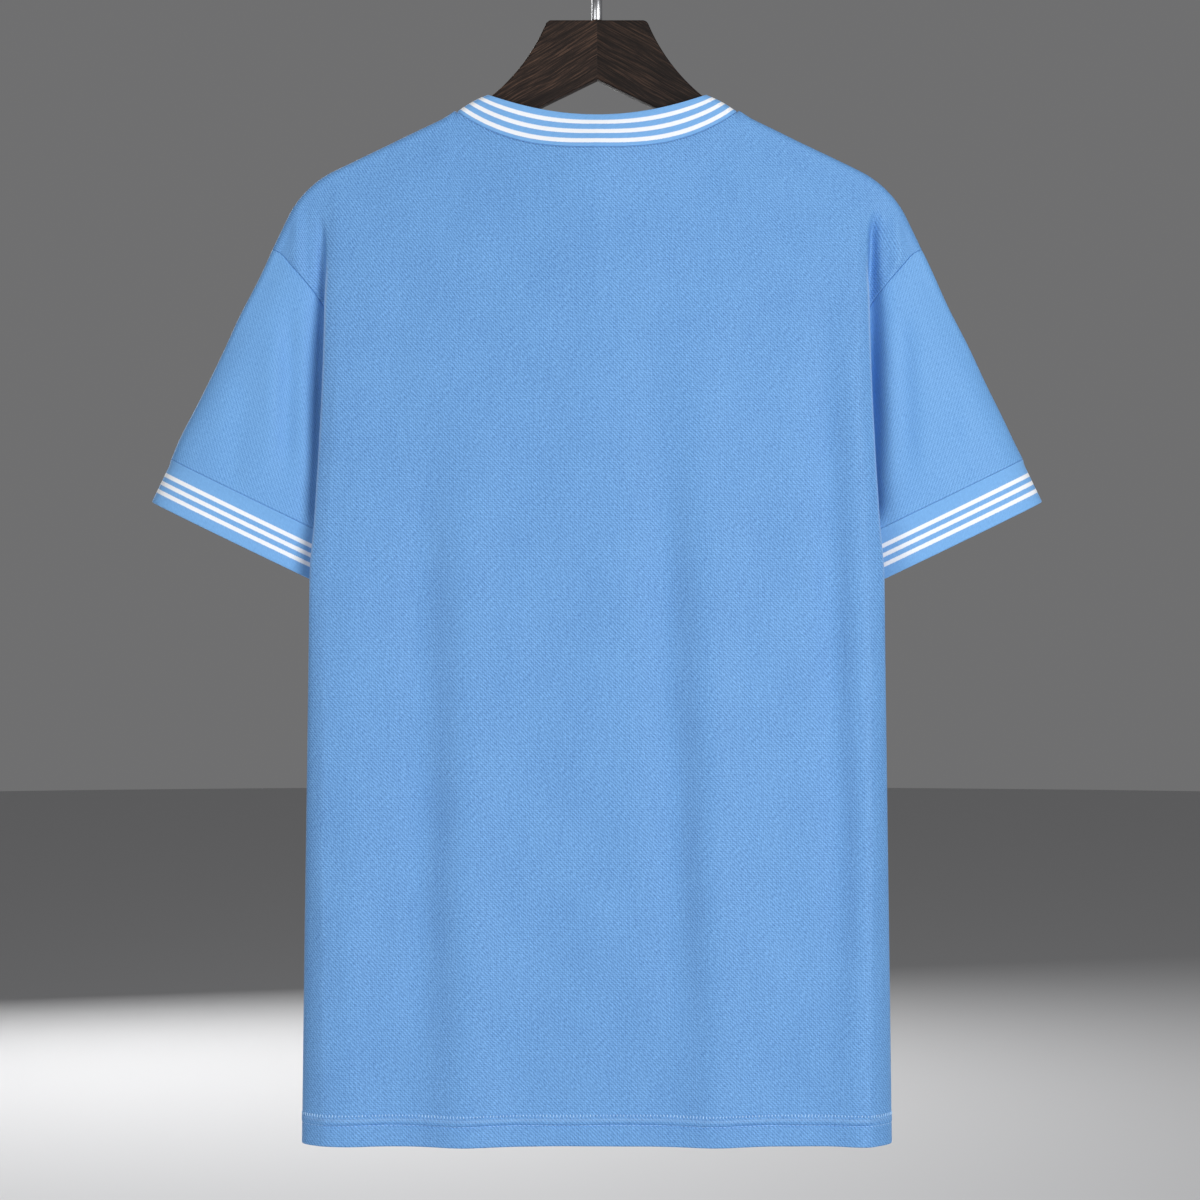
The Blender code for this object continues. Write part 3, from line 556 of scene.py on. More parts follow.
    def panel(self, side: Side, hem_lines: Sequence[float]) -> Array:
        """Makes a whole panel: rows down, columns from -X to +X."""
        right = self.half_panel(side, -1, hem_lines)[:, :0:-1] * (-1, 1, 1)
        left = self.half_panel(side, 1, hem_lines)
        return np.concatenate([right, left], axis=1) * (1, 1 if side is Side.BACK else -1, 1)

    def armhole(self, panel: Array) -> Array:
        """Takes the wearer's left armhole, from the shoulder point to the armpit, from the back panel."""
        edge = panel[:, -1]
        armpit = int(np.argmin(np.abs(edge[:, 2] - self.armpit_z)))
        return edge[: armpit + 1]


@dataclass(frozen=True)
class SleeveForm:
    """A set-in sleeve from the armhole to the cuff, and the rib cuff band."""

    body: JerseyForm
    length: float = 0.1967
    cuff_length: float = 0.0330
    cuff_width: float = 0.145
    cuff_depth: float = 0.026
    cuff_power: float = 2.5
    cuff_inset: float = 0.0010
    settle: float = 0.004
    pull: float = 0.55
    steps: int = 44
    cuff_steps: int = 12

    def down_arm(self) -> Array:
        """Gives the way down the sleeve's upper fold."""
        return np.array([math.cos(self.body.sleeve_slope), 0, -math.sin(self.body.sleeve_slope)])

    def ring_half(self, distance: float, shares: Array, inset: float) -> Array:
        """Makes the back half of the ring round the sleeve, at a distance down its upper fold."""
        slope = self.body.sleeve_slope
        across = np.array([-math.sin(slope), 0, -math.cos(slope)])
        x = self.body.shoulder_xs[-1]
        top = np.array([x, 0, float(self.body.ridge(np.array(x))[0])]) + distance * self.down_arm()
        angles = np.linspace(0, math.pi, 721)
        wide = np.sign(np.cos(angles)) * np.abs(np.cos(angles)) ** (2 / self.cuff_power)
        deep = np.abs(np.sin(angles)) ** (2 / self.cuff_power)
        half = self.cuff_width / 2
        oval = np.stack([half - (half - inset) * wide, (self.cuff_depth - inset) * deep], axis=1)
        reach = along(oval)
        at = [np.interp(shares * reach[-1], reach, oval[:, k]) for k in range(2)]
        return top + at[0][:, None] * across + at[1][:, None] * np.array([0, 1, 0])

    def round_arm(self, half: Array) -> Array:
        """Makes the way round the arm from its back half: armpit, back, shoulder point, front, armpit."""
        front = half[..., 1:, :] * (1, -1, 1)
        return np.concatenate([half[..., ::-1, :], front], axis=-2)

    def sleeve(self, armhole: Array) -> Array:
        """Makes the sleeve's middle surface: rows from the armhole to the cuff, columns round the arm."""
        reach = along(armhole)
        cuff = self.ring_half(self.length - self.cuff_length, reach / reach[-1], 0)
        span = cuff - armhole
        arrive = np.linalg.norm(span, axis=1)[:, None] * self.down_arm()
        leave = span * (1 - self.pull) + arrive * self.pull
        rows = [hermite(k / self.steps, armhole, cuff, leave, arrive) for k in range(self.steps + 1)]
        return self.round_arm(np.array(rows))

    def cuff(self, armhole: Array) -> Array:
        """Makes the cuff's middle surface, from its seam to its open edge."""
        reach = along(armhole)
        start = self.length - self.cuff_length
        rows = []
        for distance in np.linspace(0, self.cuff_length, self.cuff_steps + 1):
            inset = self.cuff_inset * float(smooth(np.array(distance / self.settle)))
            rows.append(self.ring_half(start + distance, reach / reach[-1], inset))
        return self.round_arm(np.array(rows))


@dataclass(frozen=True)
class CollarForm:
    """A rib collar, from the neck seam to its folded upper edge."""

    body: JerseyForm
    top_x: float = 0.0765
    top_z: float = -0.1247
    back_drop: float = 0.0152
    front_drop: float = 0.077
    back_y: float = 0.0185
    front_y: float = 0.026
    back_power: float = 0.45
    front_power: float = 0.30
    bulge: float = 0.0010
    steps: int = 14
    columns: int = 260

    def seam(self) -> Array:
        """Makes the neck seam as a closed line: from -X over the back to +X and over the front again."""
        back = self.body.neck_line(Side.BACK)
        front = self.body.neck_line(Side.FRONT)
        point = np.array([[self.body.neck_x, 0, self.body.neck_z]])
        right, left = (-1, 1, 1), (1, 1, 1)
        line = np.concatenate(
            [
                point * right,
                back * right,
                back[-2::-1] * left,
                point,
                front * (1, -1, 1),
                front[-2::-1] * (-1, -1, 1),
                point * right,
            ]
        )
        reach = along(line)
        at = np.linspace(0, reach[-1], self.columns + 1)
        return np.stack([np.interp(at, reach, line[:, k]) for k in range(3)], axis=1)

    def surface(self) -> Array:
        """Makes the collar's middle surface: rows from the seam up, columns round the neck."""
        seam = self.seam()
        share = np.clip(seam[:, 0] / self.body.neck_x, -1, 1)
        rise = np.sqrt(np.maximum(1 - share**2, 0))
        back = (self.top_x * share, self.back_y * rise**self.back_power, self.top_z - self.back_drop * rise**2)
        front_y = -self.front_y * rise**self.front_power
        front = (self.top_x * share, front_y, self.top_z - self.front_drop * rise)
        top = np.where((seam[:, 1] >= 0)[:, None], np.stack(back, 1), np.stack(front, 1))
        way = np.linspace(0, 1, self.steps + 1)[:, None, None]
        return seam + (top - seam) * way + np.array([0, 0, self.bulge]) * np.sin(math.pi * way)


# ------------------------------------------------------------------------ cloth as walls
class Edge(Enum):
    """How the edge of a cloth piece is finished."""

    SEAM = "sewn to its neighbour"
    FOLD = "turned or knitted round"


@dataclass
class Cloth:
    """A piece of cloth: a grid of middle points, its outward directions and its place on the flat cut.

    Attributes:
        name: The piece's name.
        points: The middle points, shaped (rows, columns, 3).
        facing: 1 or -1, which makes the grid's own normals point outwards.
        finish: The material of the piece.
        half: Half the wall's thickness.
        foot: How the last row's edge is finished.
        normals: The outward directions.
        painted_highlight: Where a highlight is painted into the cloth's colour along its fold's edge, from 0 to
            1.
        drop: How far down the flat cut the points lie, where that is not their distance up from the foot.
    """

    name: str
    points: Array
    facing: int
    finish: Material
    half: float = 0.7 * MILLIMETRE
    foot: Edge = Edge.SEAM
    normals: Array = field(init=False)
    painted_highlight: Array = field(init=False)
    drop: Array | None = None

    groove_width: ClassVar[float] = 0.85 * MILLIMETRE
    groove_depth: ClassVar[float] = 0.85 * MILLIMETRE
    seam_lines: ClassVar[tuple[float, ...]] = (0.05, 0.16, 0.36, 0.62, 0.85)
    fold_lines: ClassVar[tuple[float, ...]] = (0.0, 0.05, 0.2, 0.45, 0.8)
    line_room: ClassVar[float] = 1.15

    def __post_init__(self) -> None:
        """Works out the outward directions."""
        self.find_normals()
        self.painted_highlight = np.zeros(self.points.shape[:2])

    def find_normals(self) -> None:
        """Averages the directions of the faces round each point."""
        p = self.points
        facing = unit(np.cross(p[1:, 1:] - p[:-1, :-1], p[1:, :-1] - p[:-1, 1:])) * self.facing
        total = np.zeros_like(p)
        for rows in (slice(None, -1), slice(1, None)):
            for columns in (slice(None, -1), slice(1, None)):
                total[rows, columns] += facing
        self.normals = unit(total)

    def push(self, distance: Array) -> None:
        """Moves the cloth outwards and works out its directions again."""
        self.points = self.points + self.normals * distance[..., None]
        self.find_normals()

    def close_round(self) -> None:
        """Gives the first and last columns, which lie at one place, one outward direction."""
        both = unit(self.normals[:, 0] + self.normals[:, -1])
        self.normals[:, 0] = self.normals[:, -1] = both

    def flat_places(self) -> Array:
        """Gives each point's place on the flat cut: across from the middle, and down from the foot."""
        across = along(self.points, axis=1)
        across = across - across[:, across.shape[1] // 2][:, None]
        drop = -along(self.points, back=True) if self.drop is None else self.drop
        return np.stack([across, drop], axis=2)

    def add_lines(self, grid: Array, distances: Sequence[float], axis: int, at_end: bool) -> Array:
        """Puts close lines in place of a grid's edge line.

        Args:
            grid: Values at the points, the first three of them places.
            distances: How far in from the edge each line lies, in millimetres, outermost first.
            axis: 0 for an edge row, 1 for an edge column.
            at_end: Whether it is the last row or column.

        Returns:
            The grid with its new lines.
        """
        lines = np.moveaxis(grid, axis, 0)
        lines = lines[::-1] if at_end else lines
        step = np.linalg.norm(lines[1, ..., :3] - lines[0, ..., :3], axis=-1)[..., None]
        farthest = distances[-1] * MILLIMETRE * self.line_room
        step = np.maximum(step, farthest)
        new = [lines[0] + (lines[1] - lines[0]) * (d * MILLIMETRE / step) for d in distances]
        lines = np.concatenate([np.array(new), lines[1:]])
        lines = lines[::-1] if at_end else lines
        return np.moveaxis(lines, 0, axis)

    def wall(self, hem: HemStyle | None = None) -> Wall:
        """Gives the piece its seams and its edge, or its turned-up hem, and works out its two faces."""
        grid = np.concatenate([self.points, self.normals, self.flat_places(), self.painted_highlight[..., None]], axis=2)
        foot_lines = self.seam_lines if self.foot is Edge.SEAM else self.fold_lines
        edges = ((self.seam_lines, 1, False), (self.seam_lines, 1, True), (self.seam_lines, 0, False))
        for lines, axis, at_end in (*edges, (foot_lines, 0, True)):
            grid = self.add_lines(grid, lines, axis, at_end)
        points, normals, flat, painted_highlight = grid[..., :3], unit(grid[..., 3:6]), grid[..., 6:8], grid[..., 8]
        to_foot = along(points, back=True)
        to_sides = [along(points), along(points, 1), along(points, 1, back=True)]
        to_sides += [to_foot] if self.foot is Edge.SEAM else []
        to_seam = np.min(to_sides, axis=0) + self.seam_lines[0] * MILLIMETRE
        near = np.clip(1 - to_seam / self.groove_width, 0, 1)
        outer = self.half - self.groove_depth * (1 - np.sqrt(1 - near**2))
        inner = np.full_like(outer, self.half)
        if hem is not None:
            inner = inner + hem.turning * (to_foot < hem.height)
        if self.foot is Edge.FOLD:
            thick = (outer + inner) / 2
            middle = (outer - inner) / 2
            left = np.clip(thick - to_foot, 0, None)
            rounded = np.sqrt(np.maximum(thick**2 - left**2, 0))
            outer, inner = middle + rounded, rounded - middle
        if hem is not None:
            kept_relief_and_painted_highlight = 1 - hem.press_flat * smooth((np.abs(normals[..., 0]) - hem.press_start) / hem.press_run)
            outer = outer + hem.relief(to_foot, flat[..., 0]) * smooth(to_foot / self.half) * kept_relief_and_painted_highlight
            # Paints a highlight along the crest of the hem's ridge.
            painted_highlight = np.maximum(painted_highlight, hem.painted_ridge_highlight * bell(to_foot - hem.crest, hem.painted_ridge_highlight_width))
        return Wall(self, points, normals, flat, painted_highlight, to_foot, outer, inner)


@dataclass
class Wall:
    """A cloth piece's two faces, ready to be made a mesh."""

    cloth: Cloth
    points: Array
    normals: Array
    flat: Array
    painted_highlight: Array
    to_foot: Array
    outer: Array
    inner: Array

    def row_on_face(self, row: int, columns: slice, lift: float) -> tuple[Array, Array]:
        """Gives the places and outward directions of part of a row, on the outer face."""
        ways = self.normals[row, columns]
        return self.points[row, columns] + ways * (self.outer[row, columns, None] + lift), ways

    def line_on_face(self, distance: float, lift: float) -> tuple[Array, Array]:
        """Gives the places and outward directions of a line on the outer face, a distance from the foot."""
        face = self.points + self.normals * (self.outer[..., None] + lift)
        grid = np.concatenate([face, self.normals], axis=2)[::-1]
        to_foot = self.to_foot[::-1]
        line = [
            [np.interp(distance, to_foot[:, column], grid[:, column, k]) for k in range(6)]
            for column in range(grid.shape[1])
        ]
        return np.array(line)[:, :3], unit(np.array(line)[:, 3:])

    def build(self) -> Object:
        """Makes the closed mesh, with the place on the flat cut as its UV map."""
        rows, columns = self.points.shape[:2]
        count = rows * columns
        outside = self.points + self.normals * self.outer[..., None]
        inside = self.points - self.normals * self.inner[..., None]
        verts = np.concatenate([outside.reshape(-1, 3), inside.reshape(-1, 3)])
        index = np.arange(count).reshape(rows, columns)
        corners = [index[:-1, :-1], index[:-1, 1:], index[1:, 1:], index[1:, :-1]]
        quads = np.stack(corners, axis=2).reshape(-1, 4)
        rim = np.concatenate([index[0], index[1:, -1], index[-1, -2::-1], index[-2:0:-1, 0]])
        after = np.roll(rim, -1)
        edge = np.stack([after, rim, rim + count, after + count], axis=1)
        faces = np.concatenate([quads, quads[:, ::-1] + count, edge])
        if self.cloth.facing < 0:
            faces = faces[:, ::-1]
        mesh = bpy.data.meshes.new(self.cloth.name)
        mesh.from_pydata(verts.tolist(), [], faces.tolist())
        places = np.tile(self.flat.reshape(-1, 2), (2, 1))[faces.reshape(-1)]
        layer = mesh.uv_layers.new(name="cut")
        layer.uv.foreach_set("vector", places.astype(np.float32).ravel())
        mesh.shade_smooth()
        mesh.materials.append(self.cloth.finish)
        return link(self.cloth.name, mesh)


@dataclass(frozen=True)
class HemStyle:
    """The turned-up hem: a band below two lines of cover stitch, with a puffed ridge between them and a
    highlight painted along the ridge's crest.
    """

    height: float = 0.0208
    turning: float = 0.8 * MILLIMETRE
    # Where the highlight painted on the ridge lies, how strong and how wide it is.
    crest: float = 0.0187
    painted_ridge_highlight: float = 0.2
    painted_ridge_highlight_width: float = 0.0011
    press_flat: float = 0.8
    press_start: float = 0.25
    press_run: float = 0.45
    lower_line: float = 0.0148
    band: float = 0.00035
    ridge: float = 0.00145
    groove: float = 0.00075
    groove_width: float = 0.00055
    top_groove: float = 0.0003
    top_groove_width: float = 0.0005
    pucker: float = 0.0072
    pucker_share: float = 0.3
    pucker_drift: float = 0.041
    ridge_power: float = 0.7
    sway: float = 0.00035
    sway_length: float = 0.087
    edge_run: float = 0.0005

    def lines(self) -> list[float]:
        """Lists the heights of the rows that the hem needs, from above it down to 0."""
        above = [self.height + extra for extra in (0.0024, 0.0012, 0.0006, 0.0002)]
        ridge = list(np.linspace(self.height - 0.0003, self.lower_line + 0.0006, 7))
        below = [self.lower_line + extra for extra in (0.0003, 0.0, -0.0003, -0.0007, -0.0015)]
        return above + ridge + below + [0.0105, 0.0078, 0.0052, 0.0032, 0.0018, 0.0]

    def relief(self, to_foot: Array, across: Array) -> Array:
        """Gives how far the hem's outer face stands out of the wall."""
        swayed = to_foot + self.sway * np.sin(math.tau * across / self.sway_length)
        inside = smooth((self.height - swayed) / self.edge_run + 0.5)
        share = np.clip((swayed - self.lower_line) / (self.height - self.lower_line), 0, 1)
        wave = np.sin(math.tau * across / self.pucker + 2 * np.sin(math.tau * across / self.pucker_drift))
        puff = self.ridge * np.sin(math.pi * share) ** self.ridge_power * (1 + self.pucker_share * wave * share)
        groove = self.groove * bell(swayed - self.lower_line, self.groove_width)
        top = self.top_groove * bell(swayed - self.height, self.top_groove_width)
        return self.band * inside + puff - groove - top


# ------------------------------------------------------------------------ shader trees
class Shader:
    """Adds nodes to a material's or a group's tree, one call for each."""

    def __init__(self, tree: bpy.types.NodeTree) -> None:
        """Starts with an existing tree."""
        self.tree = tree

    def node(self, kind: str, inputs: dict | None = None, **settings: object) -> bpy.types.Node:
        """Adds a node.

        Args:
            kind: The node's type.
            inputs: What goes into its sockets, by name or number: a socket or a value.
            settings: The node's own properties.
        """
        made = self.tree.nodes.new(kind)
        for name, value in settings.items():
            setattr(made, name, value)
        return self.fill(made, inputs or {})

    def fill(self, node: bpy.types.Node, inputs: dict) -> bpy.types.Node:
        """Puts sockets or values into a node's sockets, which are named or numbered."""
        for key, value in inputs.items():
            socket = node.inputs[key]
            if isinstance(value, Socket):
                self.tree.links.new(value, socket)
            else:
                socket.default_value = (*value, 1) if socket.type == "RGBA" else value
        return node

    def math(self, operation: str, *values: object) -> Socket:
        """Adds a Math node and gives its result."""
        return self.node("ShaderNodeMath", dict(enumerate(values)), operation=operation).outputs[0]

    def vector(self, operation: str, *values: object) -> Socket:
        """Adds a Vector Math node and gives its result."""
        return self.node("ShaderNodeVectorMath", dict(enumerate(values)), operation=operation).outputs[0]

    def total(self, *terms: tuple[object, float]) -> Socket:
        """Adds up values, each times its share."""
        parts = [value if share == 1 else self.math("MULTIPLY", value, share) for value, share in terms]
        summed = parts[0]
        for part in parts[1:]:
            summed = self.math("ADD", summed, part)
        return summed

    def mix(self, factor: object, a: object, b: object) -> Socket:
        """Mixes two colours and gives the result."""
        return self.node("ShaderNodeMix", {0: factor, 6: a, 7: b}, data_type="RGBA").outputs[2]

    def noise(self, vector: object, scale: float, detail: float = 2.0, rough: float = 0.5) -> Socket:
        """Adds a Noise Texture and gives its value."""
        inputs = {"Vector": vector, "Scale": scale, "Detail": detail, "Roughness": rough}
        return self.node("ShaderNodeTexNoise", inputs).outputs["Fac"]

    def stretched(self, place: object, scale: tuple, detail: float = 2.0, rough: float = 0.5) -> object:
        """Gives noise that is drawn out, more where its scale is less."""
        return self.noise(self.vector("MULTIPLY", place, scale), 1, detail, rough)

    def spread(self, value: object, low: float, high: float, to: tuple[float, float] = (0, 1)) -> object:
        """Maps a value from one range to another, cut off at its ends."""
        inputs = {0: value, 1: low, 2: high, 3: to[0], 4: to[1]}
        return self.node("ShaderNodeMapRange", inputs).outputs[0]

    def bump(self, height: object, distance: float, strength: float) -> Socket:
        """Adds a Bump node and gives its normal."""
        inputs = {"Height": height, "Distance": distance, "Strength": strength}
        return self.node("ShaderNodeBump", inputs).outputs[0]


def new_group(name: str, inputs: dict[str, str], outputs: dict[str, str]) -> tuple[Shader, dict, dict]:
    """Makes a shader node group.

    Args:
        name: The group's name.
        inputs: The type of each input socket, by its name.
        outputs: The type of each output socket, by its name.

    Returns:
        Its tree, its inputs as sockets to link from, and its outputs as sockets to link to.
    """
    tree = bpy.data.node_groups.new(name, "ShaderNodeTree")
    for socket, kind in inputs.items():
        tree.interface.new_socket(name=socket, in_out="INPUT", socket_type=kind)
    for socket, kind in outputs.items():
        tree.interface.new_socket(name=socket, in_out="OUTPUT", socket_type=kind)
    shader = Shader(tree)
    start = shader.node("NodeGroupInput")
    end = shader.node("NodeGroupOutput")
    return shader, {s: start.outputs[s] for s in inputs}, {s: end.inputs[s] for s in outputs}


FLOAT, VECTOR = "NodeSocketFloat", "NodeSocketVector"


def knit_group() -> bpy.types.NodeTree:
    """Builds the group that draws interlock knit: staggered loops in slanting rows, and uneven yarn.

    Its input Place is the place on the flat cut in metres and Pitch is the distance between two rows of loops.
    Loops is how high each point of a loop stands, and Tone is how light the knit looks, with painted shade
    where the loops lie low.
    """
    shader, given, out = new_group("knit", {"Place": VECTOR, "Pitch": FLOAT}, {"Loops": FLOAT, "Tone": FLOAT})
    parts = shader.node("ShaderNodeSeparateXYZ", {0: given["Place"]})
    across = shader.total((parts.outputs[0], 1), (shader.noise(given["Place"], 240, 1), 0.0014))
    turns = shader.math("DIVIDE", math.tau, given["Pitch"])
    slant = shader.math("ADD", across, parts.outputs[1])
    climb = shader.math("SUBTRACT", across, parts.outputs[1])
    rows, falls = (shader.math("SINE", shader.math("MULTIPLY", way, turns)) for way in (slant, climb))
    loops = shader.total((rows, 0.5), (shader.math("MULTIPLY", rows, falls), 0.5))
    shader.tree.links.new(shader.spread(loops, -1, 1), out["Loops"])
    drawn = shader.node("ShaderNodeCombineXYZ", {0: slant, 1: shader.math("MULTIPLY", climb, 0.35)}).outputs[0]
    yarn = shader.noise(drawn, 850, 1)
    wale = shader.stretched(given["Place"], (700, 40, 1), 2, 0.6)
    # The loops' share is painted shade between the loops; the yarn's and the wales' shares are the yarn's own
    # unevenness.
    tone = shader.total((loops, 0.48), (yarn, 1.2), (wale, 0.3))
    shader.tree.links.new(shader.spread(tone, 0.1, 1.4), out["Tone"])
    return shader.tree


def cloud_group() -> bpy.types.NodeTree:
    """Builds the group that draws slow patches, from 0 to 1, of a size that its input Size gives."""
    shader, given, out = new_group("clouds", {"Place": VECTOR, "Size": FLOAT}, {"Cloud": FLOAT})
    noise = shader.noise(given["Place"], shader.math("DIVIDE", 1.0, given["Size"]), 3, 0.55)
    shader.tree.links.new(shader.spread(noise, 0.3, 0.7), out["Cloud"])
    return shader.tree


class Groups:
    """The shader node groups that several finishes use, built once."""

    def __init__(self) -> None:
        """Builds them."""
        self.knit = knit_group()
        self.clouds = cloud_group()

    def loops(self, shader: Shader, place: object, pitch: float) -> tuple:
        """Gives how light knit looks and how high its loops stand."""
        made = shader.node("ShaderNodeGroup", {"Place": place, "Pitch": pitch}, node_tree=self.knit)
        return made.outputs["Tone"], made.outputs["Loops"]

    def cloud(self, shader: Shader, place: object, size: float) -> Socket:
        """Gives slow patches of a size."""
        return shader.node("ShaderNodeGroup", {"Place": place, "Size": size}, node_tree=self.clouds).outputs[0]


class Finish:
    """A finish: its `look` says what goes into its material's Principled BSDF."""

    name: str

    def look(self, shader: Shader, groups: Groups) -> dict:
        """Draws the finish and gives the Principled BSDF's inputs."""
        raise NotImplementedError

    def material(self, groups: Groups) -> Material:
        """Builds the material."""
        made = bpy.data.materials.new(self.name)
        made.use_nodes = True
        shader = Shader(made.node_tree)
        shader.fill(made.node_tree.nodes["Principled BSDF"], self.look(shader, groups))
        return made


@dataclass(frozen=True)
class KnitFinish(Finish):
    """Fine polyester interlock knit, as the panels and the sleeves are cut from."""

    name: str
    light: Colour = srgb(133, 190, 243)
    dark: Colour = srgb(66, 114, 179)
    pitch: float = 0.0027
    relief: float = 0.0002
    roughness: float = 0.62
    sheen: float = 0.18
    # pale is the colour of the highlight painted on the fold's edge and the hem's ridge, mixed in up to this
    # strength.
    pale: Colour = srgb(196, 220, 248)
    painted_highlight_strength: float = 0.6
    patch_size: float = 0.05
    patch_share: float = 0.06
    bump: float = 0.35

    def look(self, shader: Shader, groups: Groups) -> dict:
        """Draws the finish."""
        place = shader.node("ShaderNodeUVMap", uv_map="cut").outputs[0]
        # The knit's tone holds painted shade where its loops lie low.
        tone, loops = groups.loops(shader, place, self.pitch)
        patches = groups.cloud(shader, place, self.patch_size)
        tone = shader.total((tone, 1 - self.patch_share), (patches, self.patch_share))
        # Paints the highlight on the fold's edge and the hem's ridge by mixing pale into the knit's colour.
        kept_relief_and_painted_highlight = shader.node("ShaderNodeAttribute", attribute_name="painted_highlight").outputs["Fac"]
        kept_relief_and_painted_highlight = shader.math("MULTIPLY", kept_relief_and_painted_highlight, self.painted_highlight_strength)
        return {
            "Base Color": shader.mix(kept_relief_and_painted_highlight, shader.mix(tone, self.dark, self.light), self.pale),
            "Normal": shader.bump(loops, self.relief, self.bump),
            "Roughness": self.roughness,
            "Sheen Weight": self.sheen,
            "Sheen Roughness": 0.4,
            "Sheen Tint": self.light,
            "Specular IOR Level": 0.3,
        }


class Stripe(NamedTuple):
    """A knitted-in stripe: where it starts and ends, as shares of the rib's width from its seam."""

    start: float
    end: float


@dataclass(frozen=True)
class RibFinish(Finish):
    """Flat rib with knitted-in tipping stripes, as the collar and the cuffs are made of."""

    name: str
    width: float
    stripes: tuple[Stripe, ...]
    light: Colour = srgb(133, 188, 241)
    dark: Colour = srgb(108, 162, 220)
    white: Colour = srgb(251, 252, 254)
    shade: Colour = srgb(238, 242, 250)
    pitch: float = 0.0011
    relief: float = 0.00016
    softness: float = 0.00022
    raggedness: float = 0.02
    ragged_scale: float = 1400
    bump: float = 0.5

    def look(self, shader: Shader, groups: Groups) -> dict:
        """Draws the finish."""
        place = shader.node("ShaderNodeUVMap", uv_map="cut").outputs[0]
        tone, loops = groups.loops(shader, place, self.pitch)
        down = shader.node("ShaderNodeAttribute", attribute_name="band").outputs["Fac"]
        ragged = shader.math("SUBTRACT", shader.noise(place, self.ragged_scale, 1), 0.5)
        down = shader.total((down, 1), (ragged, self.raggedness))
        soft = self.softness / self.width
        stripes = 0.0
        for stripe in self.stripes:
            rise = shader.spread(down, stripe.start - soft, stripe.start + soft)
            fall = shader.spread(down, stripe.end - soft, stripe.end + soft, (1, 0))
            stripes = shader.math("MAXIMUM", stripes, shader.math("MULTIPLY", rise, fall))
        # The knit's tone, with its painted shade between the loops, shades the blue and the white alike.
        blue = shader.mix(tone, self.dark, self.light)
        white = shader.mix(tone, self.shade, self.white)
        return {
            "Base Color": shader.mix(stripes, blue, white),
            "Normal": shader.bump(loops, self.relief, self.bump),
            "Roughness": 0.7,
            "Sheen Weight": 0.15,
            "Sheen Roughness": 0.4,
            "Specular IOR Level": 0.25,
        }


@dataclass(frozen=True)
class ThreadFinish(Finish):
    """Sewing thread, a little lighter or darker than the cloth."""

    name: str
    light: Colour
    dark: Colour
    patch_size: float = 0.002

    def look(self, shader: Shader, groups: Groups) -> dict:
        """Draws the finish."""
        place = shader.node("ShaderNodeTexCoord").outputs["Object"]
        colour = shader.mix(groups.cloud(shader, place, self.patch_size), self.dark, self.light)
        return {"Base Color": colour, "Roughness": 0.45, "Sheen Weight": 0.2}


@dataclass(frozen=True)
class WoodFinish(Finish):
    """Dark stained wood with straight grain along the arm, under a satin lacquer.

    Attributes:
        name: The material's name.
        lean: How far the grain is turned from level.
        painted_light_level: How light the wood's colours are painted; the right arm's are darker, a painted
            shade for the way the light falls on its grain.
    """

    name: str
    lean: float
    painted_light_level: float = 1.0
    dark: Colour = srgb(22, 16, 14)
    middle: Colour = srgb(49, 37, 31)
    light: Colour = srgb(82, 61, 49)
    roughness: tuple[float, float] = (0.66, 0.5)
    wander: float = 0.007
    pore_share: float = 0.75
    pore_depth: float = 0.8
    relief: float = 0.00018
    bump: float = 0.3

    def look(self, shader: Shader, groups: Groups) -> dict:
        """Draws the finish."""
        place = shader.node("ShaderNodeTexCoord").outputs["Object"]
        turned = shader.node("ShaderNodeMapping", {"Vector": place, "Rotation": (0, self.lean, 0)}).outputs[0]
        wander = shader.math("SUBTRACT", shader.stretched(turned, (16, 40, 30)), 0.5)
        wander = shader.math("MULTIPLY", wander, self.wander)
        shift = shader.node("ShaderNodeCombineXYZ", {2: wander}).outputs[0]
        place = shader.vector("ADD", turned, shift)
        streaks = shader.stretched(place, (38, 650, 1350), 4, 0.7)
        rings = shader.stretched(place, (6, 90, 190), 3, 0.55)
        pore = shader.spread(shader.stretched(place, (90, 1400, 2400)), 0.60, 0.74)
        tone = shader.spread(shader.total((streaks, 0.95), (rings, 0.3)), 0.42, 0.82)
        warm = shader.spread(shader.math("MULTIPLY", tone, streaks), 0.26, 0.56)
        shades = (self.dark, self.middle, self.light)
        dark, middle, light = (tuple(self.painted_light_level * channel for channel in shade) for shade in shades)
        colour = shader.mix(warm, shader.mix(tone, dark, middle), light)
        height = shader.total((streaks, 1), (pore, -self.pore_depth))
        return {
            "Base Color": shader.mix(shader.math("MULTIPLY", pore, self.pore_share), colour, dark),
            "Roughness": shader.spread(streaks, 0.3, 0.7, self.roughness),
            "Normal": shader.bump(height, self.relief, self.bump),
            "Specular IOR Level": 0.16,
        }


@dataclass(frozen=True)
class SteelFinish(Finish):
    """Plated steel with a soft polish, a little cloudier in places."""

    name: str
    colour: Colour = srgb(196, 197, 200)
    roughness: tuple[float, float] = (0.33, 0.38)
    patch_size: float = 0.012
    patch_shade: float = 0.96

    def look(self, shader: Shader, groups: Groups) -> dict:
        """Draws the finish."""
        place = shader.node("ShaderNodeTexCoord").outputs["Object"]
        cloud = groups.cloud(shader, place, self.patch_size)
        shade = tuple(self.patch_shade * channel for channel in self.colour)
        return {
            "Base Color": shader.mix(cloud, shade, self.colour),
            "Roughness": shader.spread(cloud, 0.2, 0.8, self.roughness),
            "Metallic": 1.0,
        }


@dataclass(frozen=True)
class PlainFinish(Finish):
    """One even colour, for the floor."""

    name: str
    colour: Colour
    roughness: float = 0.9

    def look(self, shader: Shader, groups: Groups) -> dict:
        """Gives the colour as it is."""
        return {"Base Color": self.colour, "Roughness": self.roughness}


# ------------------------------------------------------------------------ stitches
class StitchRow(NamedTuple):
    """A row of stitches: how far apart, long and thick they are, whether they lie across it, how askew."""

    name: str
    pitch: float
    length: float
    thickness: float
    across: float
    lean: float
    seed: int


